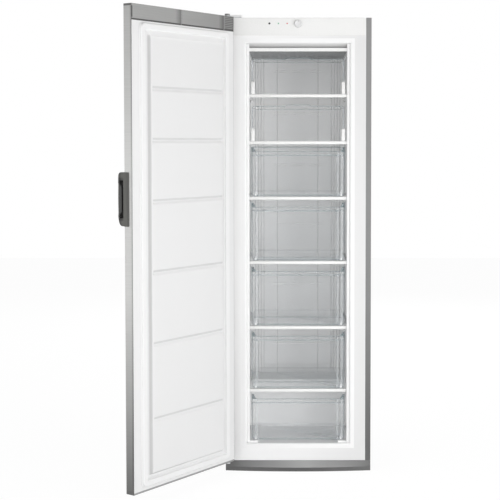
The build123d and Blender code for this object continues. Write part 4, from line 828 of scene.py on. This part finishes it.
# Drawers: one closed shell, up the outside and down the inside. The front carries a grip band, and its
# upper edge dips between the two corner wings. Rows count up the outside from 0 and down the inside to 41;
# the rims of the outer and the inner wall meet between rows 20 and 21.
drawer = {
    "half": 0.194, "front": 0.018, "round": 0.018, "leastRound": 0.004, "taper": 0.003, "base": 0.01,
    "wall": 0.0026, "wallFrom": 0.03,
    "band": 0.014, "bandSteps": (-0.005, -0.0015, 0.0005, 0.003),
    "bandShares": (0.15, 1, 1, 1, 1, 0.7, 0.25), "bandReach": 0.0028,
    "rimSteps": (0.004, 0.002, 0.0005, 0), "rimLift": 0.0008,
    "handGap": 0.03, "sideGap": 0.012, "floorGap": 0.0005,
    "frontDepth": 0.022, "frontEase": 0.016,
    "wing": 0.184, "wingEase": 0.012,
    "lineRows": (9, 10, *range(14, 27)), "lineShade": 0.85,
    "footRows": (2, 3, 4, 5), "footShade": 0.65, "footShare": 0.35,
    "sideRows": (19, 20, 21, 22), "sideShade": 0.4,
    "cornerDepth": 0.024, "cornerFade": 0.006, "cornerWide": 0.01, "cornerEase": 0.005,
    "cornerShade": 0.6,
    "spotX": 0.1755, "spotHalf": 0.007, "spotHigh": 0.03, "spotFade": 0.012,
    "spotRows": tuple(range(8)), "spotGlint": 0.8,
    "streaks": ((0.162, 0.006), (0.18, 0.007), (-0.17, 0.006)), "streakRows": tuple(range(16)),
    "streakGlint": 0.42,
}
# Each drawer's body, its floor, the ceiling above it and its back.
drawerRooms = (
    ("drawer_1", 1.128, 1.342, 0.448),
    ("drawer_2", 0.864, 1.115, 0.448),
    ("drawer_3", 0.596, 0.851, 0.448),
    ("drawer_4", 0.336, 0.583, 0.448),
    ("drawer_5", 0.121, 0.323, 0.29),
)
bend, rise = np.linspace(0, np.pi / 2, 7), np.linspace(0.12, 1, 5)
bandSteps, rimSteps = np.array(drawer["bandSteps"]), np.array(drawer["rimSteps"])
outInset = np.concatenate([drawer["base"] * (1 - np.sin(bend)), np.zeros(9)])
innerBase = drawer["base"] - drawer["wall"]
innerInset = np.concatenate([np.zeros(9), innerBase * (1 - np.sin(bend[::-1]))]) + drawer["wall"]
band = np.concatenate([np.zeros(9), drawer["bandShares"]])
reach = np.concatenate([band, np.zeros(10), band[::-1]])[:, None]
climb = np.concatenate([np.zeros(16), rise, rise[::-1], np.zeros(16)])[:, None]
rows = np.arange(len(climb))[:, None]
lineRows, footRows, sideRows, spotRows, streakRows = (
    np.isin(rows, drawer[key + "Rows"]) for key in ("line", "foot", "side", "spot", "streak")
)
for name, floorZ, ceilingZ, back in drawerRooms:
    low, sideTop = floorZ + drawer["floorGap"], ceilingZ - drawer["sideGap"]
    frontTop = ceilingZ - drawer["handGap"]
    tall = frontTop - low
    bandLift, rimLift = tall - drawer["band"] + bandSteps, tall - rimSteps
    outLift = np.concatenate([drawer["base"] * (1 - np.cos(bend)), [drawer["wallFrom"]], bandLift, rimLift])
    innerLift = np.concatenate([outLift[::-1][:9], drawer["wall"] + innerBase * (1 - np.cos(bend[::-1]))])
    lift = np.concatenate([outLift, np.full(10, tall), innerLift])
    inset = np.concatenate([outInset, np.zeros(5), np.full(5, drawer["wall"]), innerInset])
    inset += drawer["taper"] * (1 - lift / tall)
    lift = lift[:, None]
    halfDepth, middleY = halved(drawer["front"], back)
    rounds = np.maximum(drawer["round"] - inset, drawer["leastRound"])
    u, v = loops(drawer["half"] - inset, halfDepth - inset, rounds, 10, 84)
    # The front share is 1 on the front wall, and falls to 0 round its corners.
    fromFront, fromMiddle = -v - halfDepth, np.abs(u)
    frontShare = smooth((fromFront + drawer["frontDepth"]) / drawer["frontEase"])
    dip = smooth((drawer["wing"] - fromMiddle) / drawer["wingEase"]) * frontShare
    z = low + lift + climb * ((sideTop - frontTop) * (1 - dip) + drawer["rimLift"])
    y = v + middleY - drawer["bandReach"] * reach * frontShare
    # Painted shade in dark lines: both edges of the band, the rims, the foot and the upright corners.
    lined = drawer["lineShade"] * lineRows * frontShare
    footed = drawer["footShade"] * footRows * between(drawer["footShare"], 1, frontShare)
    rimmed = drawer["sideShade"] * sideRows
    nearFront = smooth((fromFront + drawer["cornerDepth"]) / drawer["cornerFade"])
    cornered = smooth((fromMiddle - drawer["half"] + drawer["cornerWide"]) / drawer["cornerEase"])
    cornered = drawer["cornerShade"] * cornered * nearFront
    shade = np.maximum.reduce(np.broadcast_arrays(lined, footed, rimmed, cornered))
    # Painted highlights: a glint spot low at each corner, and upright glint streaks on the front.
    spots = smooth(1 - np.abs(fromMiddle - drawer["spotX"]) / drawer["spotHalf"])
    spots = spots * smooth((drawer["spotHigh"] - lift) / drawer["spotFade"])
    streaks = sum(smooth(1 - np.abs(u - place) / half) for place, half in drawer["streaks"])
    glint = drawer["spotGlint"] * spots * spotRows + drawer["streakGlint"] * streaks * streakRows
    form = Form().add(xyz(u, y, z), rim=shade, glint=nearFront * glint)
    form.make(name.replace("_", "") + "Box", "clear_plastic", name, [name])
print("drawers made")

# Control knob: rings about its axis, as (radius, height), with a ribbed rim, a dished face and a pointer
# groove: y = base - height + pointerDepth * pointer.
knob = {
    "x": 0.0, "z": 1.8295, "base": -0.0004,
    "rings": (
        (0.016, 0), (0.016, 0.0012), (0.0152, 0.0018), (0.015, 0.0075), (0.0146, 0.009), (0.0134, 0.0098),
        (0.0118, 0.0098), (0.0108, 0.009), (0.008, 0.0086), (0.003, 0.0084), (0.0004, 0.0084),
    ),
    "ribs": 24, "ribDepth": 0.018, "ribHeights": (0.0015, 0.0092),
    "faceFrom": 0.007,
    "pointerHalf": 0.0014, "pointerEase": 0.0006, "pointerFrom": 0.006, "pointerFade": 0.002,
    "pointerDepth": 0.0012, "pointerShade": 0.3,
    "sideShade": 0.22, "sideHigh": 0.0086, "sideRadius": 0.014,
}
radii, heights = np.array(knob["rings"]).T[:, :, None]
turn = turns(96)
ribbed = (heights > knob["ribHeights"][0]) & (heights < knob["ribHeights"][1])
ribbedRadii = radii * (1 - knob["ribDepth"] * waves(turn, 2 * np.pi / knob["ribs"]) * ribbed)
knobX, knobZ = ribbedRadii * np.cos(turn), ribbedRadii * np.sin(turn)
pointer = smooth((knob["pointerHalf"] - np.abs(knobX)) / knob["pointerEase"])
pointer = pointer * smooth((knobZ - knob["pointerFrom"]) / knob["pointerFade"]) * (heights > knob["faceFrom"])
knobY = knob["base"] - heights + knob["pointerDepth"] * pointer
# painted shade on the knob's outer side; the pointer groove is darker too
side = (heights < knob["sideHigh"]) & (radii > knob["sideRadius"])
shade = knob["sideShade"] * side + knob["pointerShade"] * pointer
knobForm = Form().add(xyz(knobX + knob["x"], knobY, knobZ + knob["z"]), rim=shade)
knobForm.make("turnKnob", "knob_white", "control_knob", ["control_knob"])

# Button and lights: shallow domes. Each has its x, radius, rise above the panel and depth behind its face.
dots = {
    "z": 1.831,
    "pushButton": (-0.1165, 0.004, 0.003, 0.015),
    "powerLens": (-0.08, 0.0027, 0.0006, 0.023),
    "alarmLens": (-0.0447, 0.0027, 0.0006, 0.023),
}


def dome(x, radius, proud, depth):
    # A shallow dome: radius * cos t out to its rim, proud * sin t above the panel, then straight back.
    t = np.linspace(0.03, np.pi / 2, 8)[::-1]
    radii = np.concatenate([[radius * 0.98], radius * np.sin(t)])[:, None]
    ys = np.concatenate([[depth], -proud * np.cos(t)])[:, None]
    turn = turns(40)
    return Form().add(xyz(x + radii * np.cos(turn), ys, dots["z"] + radii * np.sin(turn)))


dome(*dots["pushButton"]).make("pushButton", "dark_plastic", "alarm_button", ["alarm_button"])
dome(*dots["powerLens"]).make("powerLens", "green_lens", "cabinet", ["power_light"])
dome(*dots["alarmLens"]).make("alarmLens", "red_lens", "cabinet", ["alarm_light"])

# Plinth: y = setback * (1 - share) - bow * (1 - (x / half)^2) * share in front and back behind, with its
# section, as (share, z), climbing from the kick band to the brow; shares below 0 are its back.
plinth = {
    "half": 0.2975, "bow": 0.019, "back": 0.007, "setback": 0.002,
    "section": (
        (0.93, 0.0006), (0.93, 0.015), (1.0, 0.0162), (1.0, 0.019), (0.3, 0.04), (0.12, 0.0427),
        (-0.37, 0.0427), (-0.37, 0.0006),
    ),
    "eases": (0.0008, 0.0006, 0.0008, 0.002, 0.003, 0.002, 0.0004, 0.0004),
}
plinthXs = lines((-plinth["half"], plinth["half"], 72))[:, None]
share, heights = eased(plinth["section"], plinth["eases"], 5).T
bow = 1 - (plinthXs / plinth["half"]) ** 2
inFront = plinth["setback"] * (1 - share) - plinth["bow"] * bow * share
plinthForm = Form().add(xyz(plinthXs, np.where(share > 0, inFront, plinth["back"]), heights))
plinthForm.make("bowedPlinth", "plinth_grey", "cabinet", ["plinth"], sharp=25)
print("controls and plinth made")

# Camera: the photograph's own place, measured from the edges of the cabinet and the open door.
view = {
    "location": (-0.0281, -4.8525, 1.3522),
    "lens": 85.813,
    "pitchDegrees": 2.6,
    "shift": (-0.0825, -0.1082),
}
camera = linked(bpy.data.objects.new("viewer", bpy.data.cameras.new("viewer")))
camera.location = view["location"]
camera.rotation_euler = (math.radians(90 - view["pitchDegrees"]), 0, 0)
camera.data.lens = view["lens"]
camera.data.shift_x, camera.data.shift_y = view["shift"]
bpy.context.scene.camera = camera
bpy.context.scene.view_settings.view_transform = "Standard"
bpy.context.scene.cycles.transparent_max_bounces = 32  # light crosses many clear walls on its way

# Lamps: each has its place, size and power; all of them aim at the middle of the part.
light = {
    "worldLevel": 0.38,
    "aim": (0.0, 0.0, 0.9),
    "lamps": {
        "front": ((0.3, -5.6, 0.75), 3.0, 30.0),
        "left": ((-2.6, -3.4, 0.9), 2.0, 30.0),
        "near": ((2.8, -3.8, 0.6), 2.2, 84.0),
        "right": ((4.4, -1.6, 0.8), 2.2, 44.0),
        "low": ((0.3, -2.9, 0.35), 1.6, 10.0),
        "back": ((0.5, 4.5, 3.0), 3.0, 60.0),
    },
}
for side, (place, size, power) in light["lamps"].items():
    lamp = linked(bpy.data.objects.new(side + "Box", bpy.data.lights.new(side + "Box", "AREA")))
    lamp.data.shape, lamp.data.size, lamp.data.energy = "SQUARE", size, power
    lamp.location = place
    lamp.rotation_euler = (Vector(light["aim"]) - Vector(place)).to_track_quat("-Z", "Y").to_euler()

world = bpy.data.worlds.new("studio")
bpy.context.scene.world = world
studio = Shader("studio", world, Color=(1, 1, 1, 1))
studio.feed(Strength=studio.spread(studio.seen(), light["worldLevel"], 1.0))

# Floor: a wide pale sheet that keeps the shadow, and shows as white to the camera and in reflections.
ground = {"half": 9.0, "colour": (0.85, 0.85, 0.85, 1), "whiteShare": 0.88, "glow": 1.06}
corners = [(x * ground["half"], y * ground["half"], 0) for x, y in ((-1, -1), (1, -1), (1, 1), (-1, 1))]
floorMesh = bpy.data.meshes.new("studioFloor")
floorMesh.from_pydata(corners, [], [(0, 1, 2, 3)])
floor = linked(bpy.data.objects.new("studioFloor", floorMesh))
pale = Shader("studioFloor", Roughness=0.9, Base_Color=ground["colour"])
glow = pale.node("ShaderNodeEmission", None, {"Strength": ground["glow"]})
lit = Wire(pale, pale.surface.outputs[0])
shown = pale.node("ShaderNodeMixShader", None, {0: pale.seen() * ground["whiteShare"], 1: lit, 2: glow})
pale.tree.links.new(shown.socket, pale.tree.nodes["Material Output"].inputs["Surface"])
floorMesh.materials.append(pale.material)
print("camera, lamps and floor ready")
